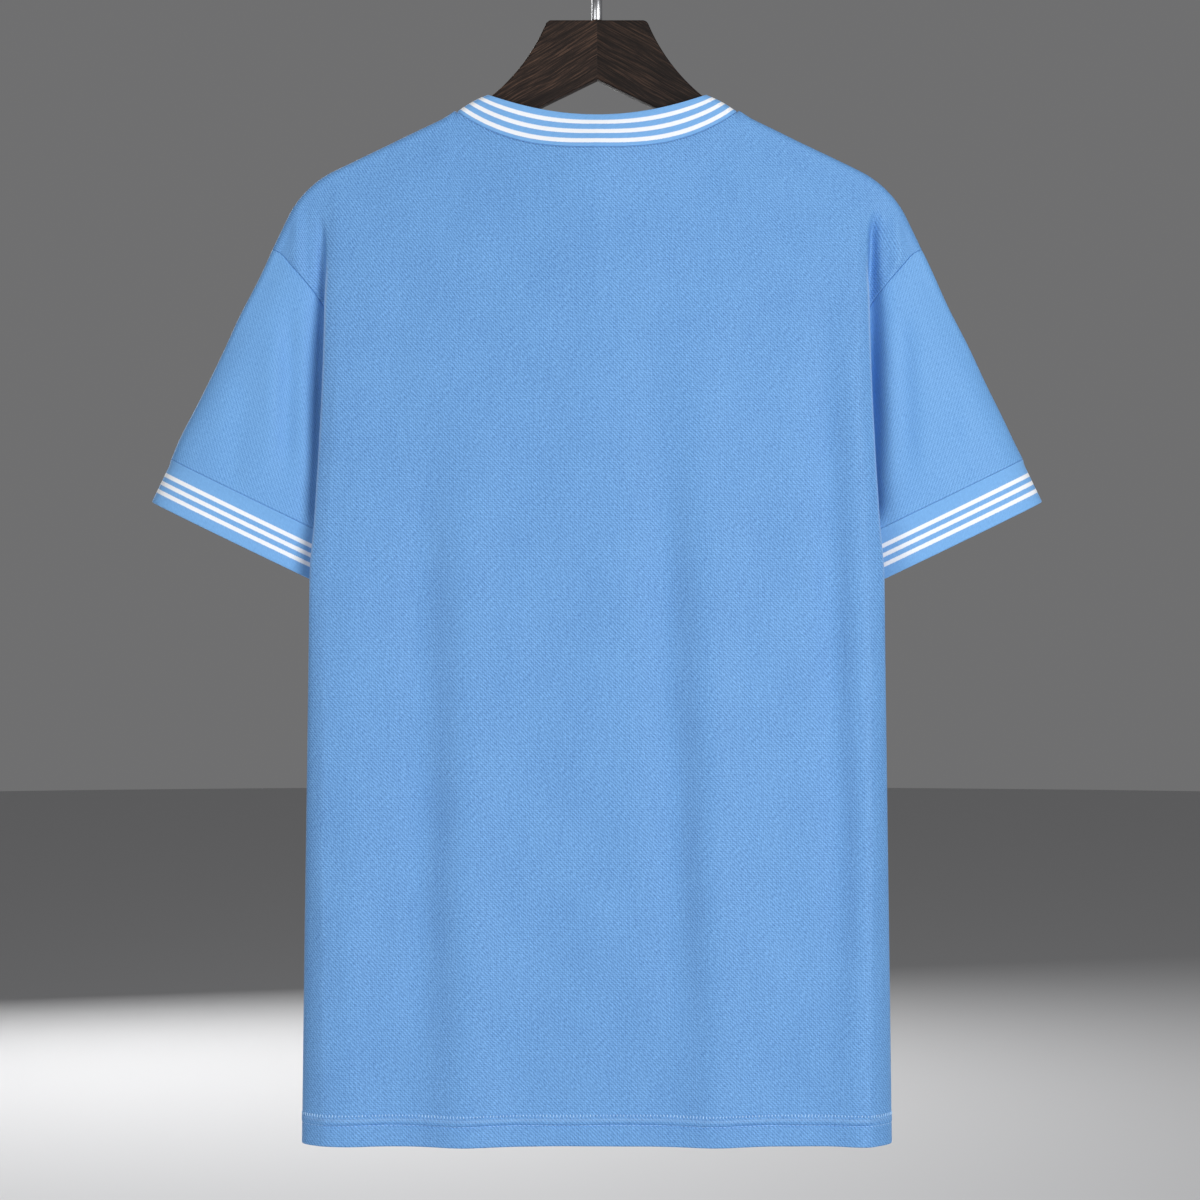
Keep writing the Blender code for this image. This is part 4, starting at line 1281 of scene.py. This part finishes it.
class StitchTree:
    """The Geometry Nodes tree that lays stitches along a line."""

    def __init__(self) -> None:
        """Builds the tree."""
        self.tree = bpy.data.node_groups.new("stitches", "GeometryNodeTree")
        kinds = {
            "Line": "NodeSocketGeometry",
            "Pitch": FLOAT,
            "Length": FLOAT,
            "Thickness": FLOAT,
            "Across": FLOAT,
            "Lean": FLOAT,
            "Seed": "NodeSocketInt",
            "Thread": "NodeSocketMaterial",
        }
        self.inputs = [
            self.tree.interface.new_socket(name=name, in_out="INPUT", socket_type=kind).identifier
            for name, kind in kinds.items()
        ]
        self.tree.interface.new_socket(name="Stitches", in_out="OUTPUT", socket_type="NodeSocketGeometry")
        self.draw()

    def draw(self) -> None:
        """Adds the nodes: points along the line, a thread on each, turned along or across the line."""
        shader = Shader(self.tree)
        given = shader.node("NodeGroupInput").outputs
        curve = shader.node("GeometryNodeMeshToCurve", {"Mesh": given["Line"]})
        pitch = {"Curve": curve.outputs[0], "Length": given["Pitch"]}
        places = shader.node("GeometryNodeResampleCurve", pitch, mode="LENGTH")
        out = shader.node("GeometryNodeInputNamedAttribute", {"Name": "out"}, data_type="FLOAT_VECTOR")
        out = out.outputs[0]
        tangent = shader.node("GeometryNodeInputTangent").outputs[0]
        ways = {0: given["Across"], 4: tangent, 5: shader.vector("CROSS_PRODUCT", tangent, out)}
        way = shader.node("ShaderNodeMix", ways, data_type="VECTOR").outputs[1]
        turn = shader.node("FunctionNodeAxesToRotation", {0: way, 1: out}, primary_axis="Z", secondary_axis="X")
        low = shader.node("ShaderNodeCombineXYZ", {0: shader.math("MULTIPLY", given["Lean"], -1.0)}).outputs[0]
        high = shader.node("ShaderNodeCombineXYZ", {0: given["Lean"]}).outputs[0]
        range_of = {"Seed": given["Seed"], 0: low, 1: high}
        wobble = shader.node("FunctionNodeRandomValue", range_of, data_type="FLOAT_VECTOR").outputs[0]
        tilt = shader.node("FunctionNodeEulerToRotation", {0: wobble}).outputs[0]
        turns = {0: turn.outputs[0], 1: tilt}
        turned = shader.node("FunctionNodeRotateRotation", turns, rotation_space="LOCAL")
        thread = shader.node("GeometryNodeMeshUVSphere", {"Segments": 6, "Rings": 5, "Radius": 0.5})
        sizes = {0: given["Thickness"], 1: given["Thickness"], 2: given["Length"]}
        inputs = {
            "Points": places.outputs[0],
            "Instance": thread.outputs[0],
            "Rotation": turned.outputs[0],
            "Scale": shader.node("ShaderNodeCombineXYZ", sizes).outputs[0],
        }
        laid = shader.node("GeometryNodeInstanceOnPoints", inputs).outputs[0]
        real = shader.node("GeometryNodeRealizeInstances", {0: laid}).outputs[0]
        dressed = shader.node("GeometryNodeSetMaterial", {"Geometry": real, "Material": given["Thread"]})
        shader.node("NodeGroupOutput", {0: dressed.outputs[0]})

    def lay(self, name: str, line: tuple[Array, Array], row: StitchRow, thread: Material) -> Object:
        """Lays a row of stitches along a line and makes them a plain mesh.

        Args:
            name: The piece's name.
            line: The line's points, and the cloth's outward direction at each of them.
            row: The stitches' sizes.
            thread: Their material.

        Returns:
            The piece.
        """
        places, ways = line
        path = bpy.data.meshes.new(name)
        path.from_pydata(places.tolist(), [(i, i + 1) for i in range(len(places) - 1)], [])
        out = path.attributes.new("out", "FLOAT_VECTOR", "POINT")
        out.data.foreach_set("vector", ways.astype(np.float32).ravel())
        made = link(name, path)
        modifier = made.modifiers.new("stitches", "NODES")
        modifier.node_group = self.tree
        for socket, value in zip(self.inputs[1:], (*row[1:], thread)):
            modifier[socket] = value
        graph = bpy.context.evaluated_depsgraph_get()
        mesh = bpy.data.meshes.new_from_object(made.evaluated_get(graph))
        made.modifiers.clear()
        made.data = mesh
        bpy.data.meshes.remove(path)
        mesh.name = name
        mesh.shade_smooth()
        return made


# ------------------------------------------------------------------------ the garment
@dataclass
class Jersey:
    """The jersey's cloth: two panels, two sleeves, two cuffs and a collar, with their stitches."""

    groups: Groups
    form: JerseyForm = field(default_factory=JerseyForm)
    hem: HemStyle = field(default_factory=HemStyle)
    panel_flat: tuple[float, float] = (0.54, 0.75)
    panel_area: float = 0.345
    sleeve_flat: tuple[float, float] = (0.40, 0.20)
    sleeve_area: float = 0.041
    cuff_flat: tuple[float, float] = (0.35, 0.033)
    collar_flat: tuple[float, float] = (0.50, 0.026)
    rib_half: float = 0.9 * MILLIMETRE
    hem_rows: tuple[StitchRow, StitchRow] = (
        StitchRow("hem_stitch_upper", 0.0023, 0.0026, 0.00080, 1.0, 0.30, 7),
        StitchRow("hem_stitch_lower", 0.0030, 0.0022, 0.00036, 0.0, 0.10, 7),
    )
    neck_row: StitchRow = StitchRow("neck_stitch", 0.0024, 0.0016, 0.00036, 0.0, 0.08, 3)
    hem_row_outset: float = 0.0002
    hem_row_lift: float = 0.00008
    neck_row_line: int = 4
    neck_row_lift: float = -0.00005
    # Where the highlight painted along the body's fold edge starts and fades down the body, and how many
    # columns wide it is.
    painted_highlight_top: float = -0.235
    painted_highlight_top_run: float = 0.03
    painted_highlight_end: float = -0.430
    painted_highlight_end_run: float = 0.07
    painted_highlight_end_loss: float = 0.85
    painted_highlight_columns: float = 1.15
    valley_end: float = -0.320
    valley_run: float = 0.03
    valley_columns: float = 5.0
    crease_end_column: int = 4
    cap_start_column: int = 9
    crease_columns: float = 6.0
    cap_end: float = -0.30
    cap_run: float = 0.03
    ridge_run: float = 0.012
    ridge_lean: float = 0.15
    side_run: float = 0.004
    armhole_run: float = 0.006
    cuff_run: float = 0.010
    cuff_valley_run: float = 0.02
    sleeve_front_shift: float = 0.004
    sleeve_wave_shift: float = 0.03
    collar_stripes: tuple[Stripe, ...] = (Stripe(0.103, 0.227), Stripe(0.388, 0.512), Stripe(0.678, 0.802))
    cuff_stripes: tuple[Stripe, ...] = (Stripe(0.308, 0.395), Stripe(0.493, 0.580), Stripe(0.682, 0.769))

    def build(self) -> list[Object]:
        """Builds every piece of the jersey and puts each on its body, hiding the solids they take the place of.
        """
        self.knit = KnitFinish("sky_knit").material(self.groups)
        # The sleeves get a lighter copy of the knit with less contrast and relief: painted light for the light
        # that the tilted sleeves catch.
        painted_lighter_sleeve_knit = KnitFinish("sky_knit_sleeve", srgb(131, 187, 239), srgb(88, 141, 204), relief=0.00012)
        self.sleeve_knit = painted_lighter_sleeve_knit.material(self.groups)
        self.cuff_rib = RibFinish("cuff_rib", 0.0330, self.cuff_stripes).material(self.groups)
        collar_rib = RibFinish("collar_rib", 0.0253, self.collar_stripes).material(self.groups)
        # The hem thread's light colour is partly a painted sheen.
        light = ThreadFinish("hem_thread", srgb(196, 226, 252), srgb(150, 196, 242)).material(self.groups)
        dark = ThreadFinish("seam_thread", srgb(58, 98, 150), srgb(36, 68, 112)).material(self.groups)
        stitches = StitchTree()
        lines = self.hem.lines()
        panels = {side: self.panel(side, lines) for side in Side}
        armhole = self.form.armhole(self.form.panel(Side.BACK, lines))
        arms = {hand: self.arm(hand, side, armhole, panels) for hand, side in (("left", 1), ("right", -1))}
        made = []
        for side, cloth in panels.items():
            wall = cloth.wall(self.hem)
            made.append(self.dress(wall, f"{side.value}_panel"))
            for row, line, thread in self.stitch_lines(wall, light, dark):
                stitch = stitches.lay(f"{side.value}_{row.name}", line, row, thread)
                made.append(tell(stitch))
        for hand, (sleeve, cuff) in arms.items():
            made.append(self.dress(sleeve.wall(), f"{hand}_sleeve"))
            made.append(self.dress(cuff.wall(), f"{hand}_cuff"))
        collar = Cloth("collar_rib", CollarForm(self.form).surface(), -1, collar_rib, self.rib_half, Edge.FOLD)
        collar.close_round()
        made.append(self.dress(collar.wall(), "collar"))
        return made

    def panel(self, side: Side, lines: Sequence[float]) -> Cloth:
        """Makes a panel's cloth, with its creases."""
        facing = 1 if side is Side.BACK else -1
        cloth = Cloth(f"{side.value}_cloth", self.form.panel(side, lines), facing, self.knit, foot=Edge.FOLD)
        x, _, z = np.moveaxis(cloth.points, 2, 0)
        count = cloth.points.shape[1]
        past_flat = np.abs(np.arange(count) - count // 2) - self.form.neck_columns - self.form.shoulder_columns
        past_tip = (past_flat - self.form.fold_steps[0])[None, :]
        valley = sum(VALLEYS[hand].field(hand * x, z) * (hand * x > 0) for hand in (1, -1))
        behind = smooth(past_tip / self.valley_columns)
        cloth.points[..., 1] -= facing * valley * behind * smooth((z - self.valley_end) / self.valley_run)
        cloth.find_normals()
        on_flat = smooth((self.crease_end_column - past_flat) / self.crease_columns)[None, :]
        on_cap = smooth((past_flat - self.cap_start_column) / self.crease_columns)[None, :]
        on_cap = on_cap * smooth((z - self.cap_end) / self.cap_run)
        moved = (crease_field(PANEL_CREASES[side], x, z) + unevenness(x, z)) * on_flat
        moved = moved + crease_field(CAP_CREASES, np.abs(x), z) * on_cap
        below_ridge = smooth(along(cloth.points) / self.ridge_run)
        to_side = smooth(along(cloth.points, 1, back=True) / self.side_run)
        to_side = to_side * smooth(along(cloth.points, 1) / self.side_run)
        cloth.push(moved * below_ridge * to_side)
        # Paints a highlight along the fold's edge, where its rim catches the light.
        lost = self.painted_highlight_end_loss * smooth((self.painted_highlight_end - z) / self.painted_highlight_end_run)
        kept_relief_and_painted_highlight = smooth((self.painted_highlight_top - z) / self.painted_highlight_top_run) * (1 - lost)
        cloth.painted_highlight = bell(past_tip, self.painted_highlight_columns) * kept_relief_and_painted_highlight
        arch_end = self.form.arch_turns + 2
        cloth.drop = self.form.hem_z - z
        cloth.drop[:arch_end] = cloth.drop[arch_end] - along(cloth.points[arch_end::-1])[:0:-1]
        cloth.normals[0] = unit(cloth.normals[0] * (1, self.ridge_lean, 1))
        armpit = int(np.argmin(np.abs(cloth.points[:, -1, 2] - self.form.armpit_z)))
        cloth.normals[armpit:, (0, -1)] = unit(cloth.normals[armpit:, (0, -1)] * (1, 0, 1))
        return cloth

    def arm(self, hand: str, side: int, armhole: Array, panels: dict[Side, Cloth]) -> tuple[Cloth, Cloth]:
        """Makes a sleeve's and a cuff's cloth, and lets them share their directions at the seams."""
        form = SleeveForm(self.form)
        mirror = (side, 1, 1)
        sleeve = Cloth(f"{hand}_sleeve_cloth", form.sleeve(armhole) * mirror, side, self.sleeve_knit)
        cuff_points = form.cuff(armhole) * mirror
        cuff = Cloth(f"{hand}_cuff_rib", cuff_points, side, self.cuff_rib, self.rib_half, Edge.FOLD)
        x, y, z = np.moveaxis(sleeve.points, 2, 0)
        to_cuff = along(sleeve.points, back=True)
        fade = smooth(along(sleeve.points) / self.armhole_run) * smooth(to_cuff / self.cuff_run)
        valley = VALLEYS[side].field(np.abs(x), z) * smooth(to_cuff / self.cuff_valley_run)
        sleeve.points[..., 1] -= np.sign(y) * valley
        sleeve.find_normals()
        shift = self.sleeve_front_shift * np.sign(y)
        moved = crease_field(SLEEVE_CREASES, np.abs(x) + shift, z) * SLEEVE_SHARES[side]
        moved = moved + unevenness(x + shift, z + self.sleeve_wave_shift)
        sleeve.push(moved * fade)
        count = len(armhole)
        column = -1 if side > 0 else 0
        halves = {Side.BACK: slice(count - 1, None, -1), Side.FRONT: slice(count - 1, None)}
        for which, columns in halves.items():
            edge = panels[which].normals[:count, column]
            shared = unit(edge + sleeve.normals[0, columns][:count])
            panels[which].normals[:count, column] = shared
            sleeve.normals[0, columns] = shared
        for cloth in (sleeve, cuff):
            cloth.close_round()
        both = unit(sleeve.normals[-1] + cuff.normals[0])
        sleeve.normals[-1] = cuff.normals[0] = both
        return sleeve, cuff

    def dress(self, wall: Wall, node: str) -> Object:
        """Builds a piece with its attributes, puts it on its body and hides the solid that it takes the place
        of.
        """
        made = wall.build()
        band = 1 - wall.to_foot / wall.to_foot[0]
        # Keeps the place across the band, for the rib's stripes, and the painted highlight as attributes.
        for name, values in (("band", band), ("painted_highlight", wall.painted_highlight)):
            both = np.tile(values, (2, 1)).reshape(-1).astype(np.float32)
            made.data.attributes.new(name, "FLOAT", "POINT").data.foreach_set("value", both)
        tell(made, node)
        return made

    def stitch_lines(self, wall: Wall, light: Material, dark: Material) -> list:
        """Gives a panel's rows of stitches and their lines: two round the hem, one below the neck seam."""
        upper, lower = self.hem_rows
        middle = wall.points.shape[1] // 2
        neck = slice(middle - self.form.neck_columns, middle + self.form.neck_columns + 1)
        return [
            (upper, wall.line_on_face(self.hem.height + self.hem_row_outset, self.hem_row_lift), light),
            (lower, wall.line_on_face(self.hem.lower_line - self.hem_row_outset, self.hem_row_lift), light),
            (self.neck_row, wall.row_on_face(self.neck_row_line, neck, self.neck_row_lift), dark),
        ]


# ------------------------------------------------------------------------ the hanger
@dataclass(frozen=True)
class Hanger:
    """The flat wooden hanger: two arms that meet in a mitred head."""

    groups: Groups
    form: JerseyForm
    head_top_z: float = -0.0715
    head_half_width: float = 0.0365
    head_corner: float = 0.0045
    flank_radius: float = 0.131
    flank_top_slope: float = 67.0
    flank_foot_slope: float = 30.0
    depth: float = 0.013
    edge_round: float = 0.0014
    edge_segments: int = 5
    edge_profile: float = 0.5
    side_inset: float = 0.0003
    seat: float = 0.0010
    seat_start_x: float = 0.122
    tip_x: float = 0.1945
    tip_radius: float = 0.011
    notch_z: float = -0.1130
    arm_height: float = 0.030
    joint_gap: float = 0.00001
    grain_lean: float = math.radians(31)
    underside: tuple[tuple[float, float], ...] = (
        (0.009, -0.1174),
        (0.020, -0.1228),
        (0.029, -0.1271),
        (0.042, -0.1335),
        (0.070, -0.1515),
        (0.100, -0.1690),
    )
    straight_arm_xs: tuple[float, float] = (0.150, 0.125)

    def seat_z(self, x: float) -> float:
        """Gives the height of the arm's upper edge."""
        z, slope = self.form.ridge(np.array(x))
        return float(z) - self.seat / math.cos(float(slope))

    @staticmethod
    def arc(centre: tuple[float, float], radius: float, start: float, end: float, steps: int) -> list:
        """Gives the points of an arc, its angles in degrees."""
        angles = np.radians(np.linspace(start, end, steps + 1))
        return [(centre[0] + radius * math.cos(a), centre[1] + radius * math.sin(a)) for a in angles]

    def outline(self) -> list[tuple[float, float]]:
        """Draws one arm: from the joint over the head, the flank and the shoulder, round the tip and back."""
        corner = (self.head_half_width - self.head_corner, self.head_top_z - self.head_corner)
        points = [(self.joint_gap, self.head_top_z)]
        points += self.arc(corner, self.head_corner, 90, 90 - self.flank_top_slope, 7)
        slope = math.radians(self.flank_top_slope)
        centre = (
            points[-1][0] + self.flank_radius * math.sin(slope),
            points[-1][1] + self.flank_radius * math.cos(slope),
        )
        turns = (270 - self.flank_top_slope, 270 - self.flank_foot_slope)
        points += self.arc(centre, self.flank_radius, *turns, 20)[1:]
        lean = self.form.shoulder_slope
        tip = self.tip_x - self.tip_radius
        over_tip = tip + self.tip_radius * math.sin(lean)
        tip_centre = (tip, self.seat_z(over_tip) - self.tip_radius * math.cos(lean))
        points.append((self.seat_start_x, self.seat_z(self.seat_start_x)))
        points += self.arc(tip_centre, self.tip_radius, 90 - math.degrees(lean), -100, 16)
        points += [(x, self.seat_z(x) - self.arm_height) for x in self.straight_arm_xs]
        points += list(self.underside[::-1])
        points.append((self.joint_gap, self.notch_z))
        return points

    def arm(self, hand: str, side: int) -> Object:
        """Builds one arm: a board with rounded edges, but for the joint."""
        build = bmesh.new()
        outline = [(side * x, z) for x, z in self.outline()]
        front = [build.verts.new((x, -self.depth / 2, z)) for x, z in outline]
        face = build.faces.new(front)
        made = bmesh.ops.extrude_face_region(build, geom=[face])
        moved = [item for item in made["geom"] if isinstance(item, bmesh.types.BMVert)]
        bmesh.ops.translate(build, verts=moved, vec=(0, self.depth, 0))
        bmesh.ops.recalc_face_normals(build, faces=build.faces)
        rounded = []
        for edge in build.edges:
            level = abs(edge.verts[0].co.y - edge.verts[1].co.y) < 1e-6
            on_joint = all(abs(vert.co.x) < 2 * self.joint_gap for vert in edge.verts)
            if level and not on_joint:
                rounded.append(edge)
        shape = {"offset": self.edge_round, "segments": self.edge_segments, "profile": self.edge_profile}
        bmesh.ops.bevel(build, geom=rounded, affect="EDGES", **shape)
        sides = [face for face in build.faces if len(face.verts) > 8]
        bmesh.ops.inset_individual(build, faces=sides, thickness=self.side_inset)
        bmesh.ops.recalc_face_normals(build, faces=build.faces)
        # The right arm's wood is painted darker: a painted shade for how the light falls on its grain.
        finish = WoodFinish(f"dark_wood_{hand}", -side * self.grain_lean, 1.0 if side > 0 else 0.6)
        arm = solid(f"hanger_{hand}_arm_wood", build, finish.material(self.groups))
        return tell(arm, f"hanger_{hand}_arm")

    def build(self) -> list[Object]:
        """Builds both arms."""
        return [self.arm("left", 1), self.arm("right", -1)]


@dataclass(frozen=True)
class Hook:
    """The wire hook and the sleeve round its foot."""

    groups: Groups
    head_top_z: float = -0.0715
    wire: float = 0.0055
    inner_radius: float = 0.020
    start_angle: float = math.radians(225)
    tip_angle: float = math.radians(-25)
    stem_top: float = -0.052
    ferrule_radius: float = 0.0037
    ferrule_height: float = 0.016
    ferrule_edge: float = 0.0006
    gap: float = 0.0003
    sides: int = 20
    bend_steps: int = 18
    circle_steps: int = 64
    tip_angles: tuple[float, ...] = (30, 55, 75, 88)

    def line(self) -> list[Array]:
        """Draws the wire's middle line: a stem, a bend to one side and most of a circle."""
        radius = self.inner_radius + self.wire / 2
        foot = np.array([0, 0, self.head_top_z + self.ferrule_height + 2 * self.gap])
        stem_top = np.array([0, 0, self.stem_top])
        angles = np.linspace(self.start_angle, self.tip_angle, self.circle_steps)
        circle = np.stack([np.cos(angles), 0 * angles, np.sin(angles)], axis=1) * radius
        circle = circle - (0, 0, self.inner_radius)
        reach = np.linalg.norm(circle[0] - stem_top)
        arrive = np.array([math.sin(self.start_angle), 0, -math.cos(self.start_angle)]) * reach
        leave = np.array([0, 0, reach])
        steps = self.bend_steps
        bend = [hermite(k / steps, stem_top, circle[0], leave, arrive) for k in range(steps)]
        return [foot, *bend, *circle]

    def tube(self, name: str, line: list, radii: list, steel: Material) -> Object:
        """Makes a round tube of changing radius along a line, closed at both ends."""
        points = np.array(line)
        tangents = unit(np.gradient(points, axis=0))
        aside = np.array([0.0, 1.0, 0.0])
        across = unit(np.cross(tangents, aside))
        angles = np.linspace(0, math.tau, self.sides, endpoint=False)
        rings = [
            p + r * (np.cos(angles)[:, None] * aside + np.sin(angles)[:, None] * a)
            for p, r, a in zip(points, radii, across)
        ]
        build = bmesh.new()
        rows = [[build.verts.new(place) for place in ring] for ring in rings]
        for lower, upper in zip(rows, rows[1:]):
            for k in range(self.sides):
                after = (k + 1) % self.sides
                build.faces.new((lower[k], lower[after], upper[after], upper[k]))
        build.faces.new(rows[0])
        build.faces.new(rows[-1])
        bmesh.ops.recalc_face_normals(build, faces=build.faces)
        return solid(name, build, steel, 50)

    def build(self) -> list[Object]:
        """Builds the hook, with a round tip, and its sleeve, with eased edges."""
        steel = SteelFinish("polished_steel").material(self.groups)
        line = self.line()
        radius = self.wire / 2
        end = np.array([math.sin(self.tip_angle), 0, -math.cos(self.tip_angle)])
        turns = np.radians(self.tip_angles)
        wire = [*line, *(line[-1] + end * radius * math.sin(turn) for turn in turns)]
        radii = [radius] * len(line) + [radius * math.cos(turn) for turn in turns]
        hook = tell(self.tube("hook_wire", wire, radii, steel), "hook")
        bottom = self.head_top_z + self.gap
        top = bottom + self.ferrule_height
        edge = self.ferrule_edge
        profile = (
            (bottom, -edge),
            (bottom + 0.3 * edge, -0.3 * edge),
            (bottom + edge, 0.0),
            (top - edge, 0.0),
            (top - 0.3 * edge, -0.3 * edge),
            (top, -edge),
        )
        places = [np.array([0, 0, z]) for z, _ in profile]
        radii = [self.ferrule_radius + eased for _, eased in profile]
        sleeve = tell(self.tube("hook_ferrule_steel", places, radii, steel), "hook_ferrule")
        return [hook, sleeve]


# ------------------------------------------------------------------------ the studio
class Softbox(NamedTuple):
    """A soft light: where it stands, where it points, its size, its power."""

    name: str
    place: tuple[float, float, float]
    target: tuple[float, float, float]
    size: float
    power: float


@dataclass(frozen=True)
class Studio:
    """A plain pale floor, soft lights and the camera."""

    floor_z: float = -1.15
    floor_radius: float = 9.0
    pale: Colour = (0.80, 0.80, 0.81)
    floor_shade: float = 0.75
    air: float = 0.20
    distance: float = 2.2
    centre: tuple[float, float] = (-0.0021, -0.4793)
    frame_width: float = 0.846
    sensor: float = 36.0
    lights: tuple[Softbox, ...] = (
        Softbox("key", (-1.42, 2.58, -0.08), (0, 0, -0.45), 1.5, 61.0),
        Softbox("fill", (2.0, 1.9, -0.35), (0, 0, -0.45), 1.2, 19.0),
        Softbox("back", (0.8, -2.6, 0.4), (0, 0, -0.45), 2.0, 58.0),
        Softbox("top", (0.0, 0.2, 1.6), (0, 0, -0.45), 1.0, 6.0),
    )

    def camera(self) -> None:
        """Puts the camera straight behind the jersey's back."""
        data = bpy.data.cameras.new("camera")
        data.sensor_width = self.sensor
        data.lens = self.sensor * self.distance / self.frame_width
        made = link("camera", data)
        made.location = (self.centre[0], self.distance, self.centre[1])
        made.rotation_euler = (math.pi / 2, 0, math.pi)
        bpy.context.scene.camera = made

    def light(self, box: Softbox) -> None:
        """Hangs one soft light."""
        data = bpy.data.lights.new(box.name, "AREA")
        data.shape = "DISK"
        data.size = box.size
        data.energy = box.power
        made = link(box.name, data)
        way = np.array(box.target) - np.array(box.place)
        made.location = box.place
        heading = math.atan2(-way[0], way[1])
        made.rotation_euler = (math.acos(-way[2] / np.linalg.norm(way)), 0, heading)

    def floor(self, groups: Groups) -> None:
        """Lays the floor."""
        build = bmesh.new()
        bmesh.ops.create_circle(build, cap_ends=True, segments=96, radius=self.floor_radius)
        bmesh.ops.translate(build, verts=build.verts, vec=(0, 0, self.floor_z))
        grey = tuple(self.floor_shade * channel for channel in self.pale)
        solid("floor", build, PlainFinish("floor", grey).material(groups))

    def build(self, groups: Groups) -> None:
        """Sets up the whole studio."""
        self.camera()
        self.floor(groups)
        for box in self.lights:
            self.light(box)
        world = bpy.data.worlds.new("studio")
        world.use_nodes = True
        air = world.node_tree.nodes["Background"]
        air.inputs["Color"].default_value = (*self.pale, 1)
        air.inputs["Strength"].default_value = self.air
        bpy.context.scene.world = world
        bpy.context.scene.view_settings.view_transform = "Standard"


def report(pieces: Sequence[Object]) -> None:
    """Logs the size of each piece."""
    for piece in pieces:
        piece.data.calc_loop_triangles()
        LOG.info("%s: %d triangles", piece.name, len(piece.data.loop_triangles))


def main() -> None:
    """Dresses the part, piece by piece."""
    logging.basicConfig(level=logging.INFO, format="%(name)s: %(message)s")
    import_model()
    groups = Groups()
    Studio().build(groups)
    jersey = Jersey(groups)
    hanger = Hanger(groups, jersey.form)
    report(hanger.build())
    report(Hook(groups).build())
    report(jersey.build())


if __name__ == "__main__":
    main()
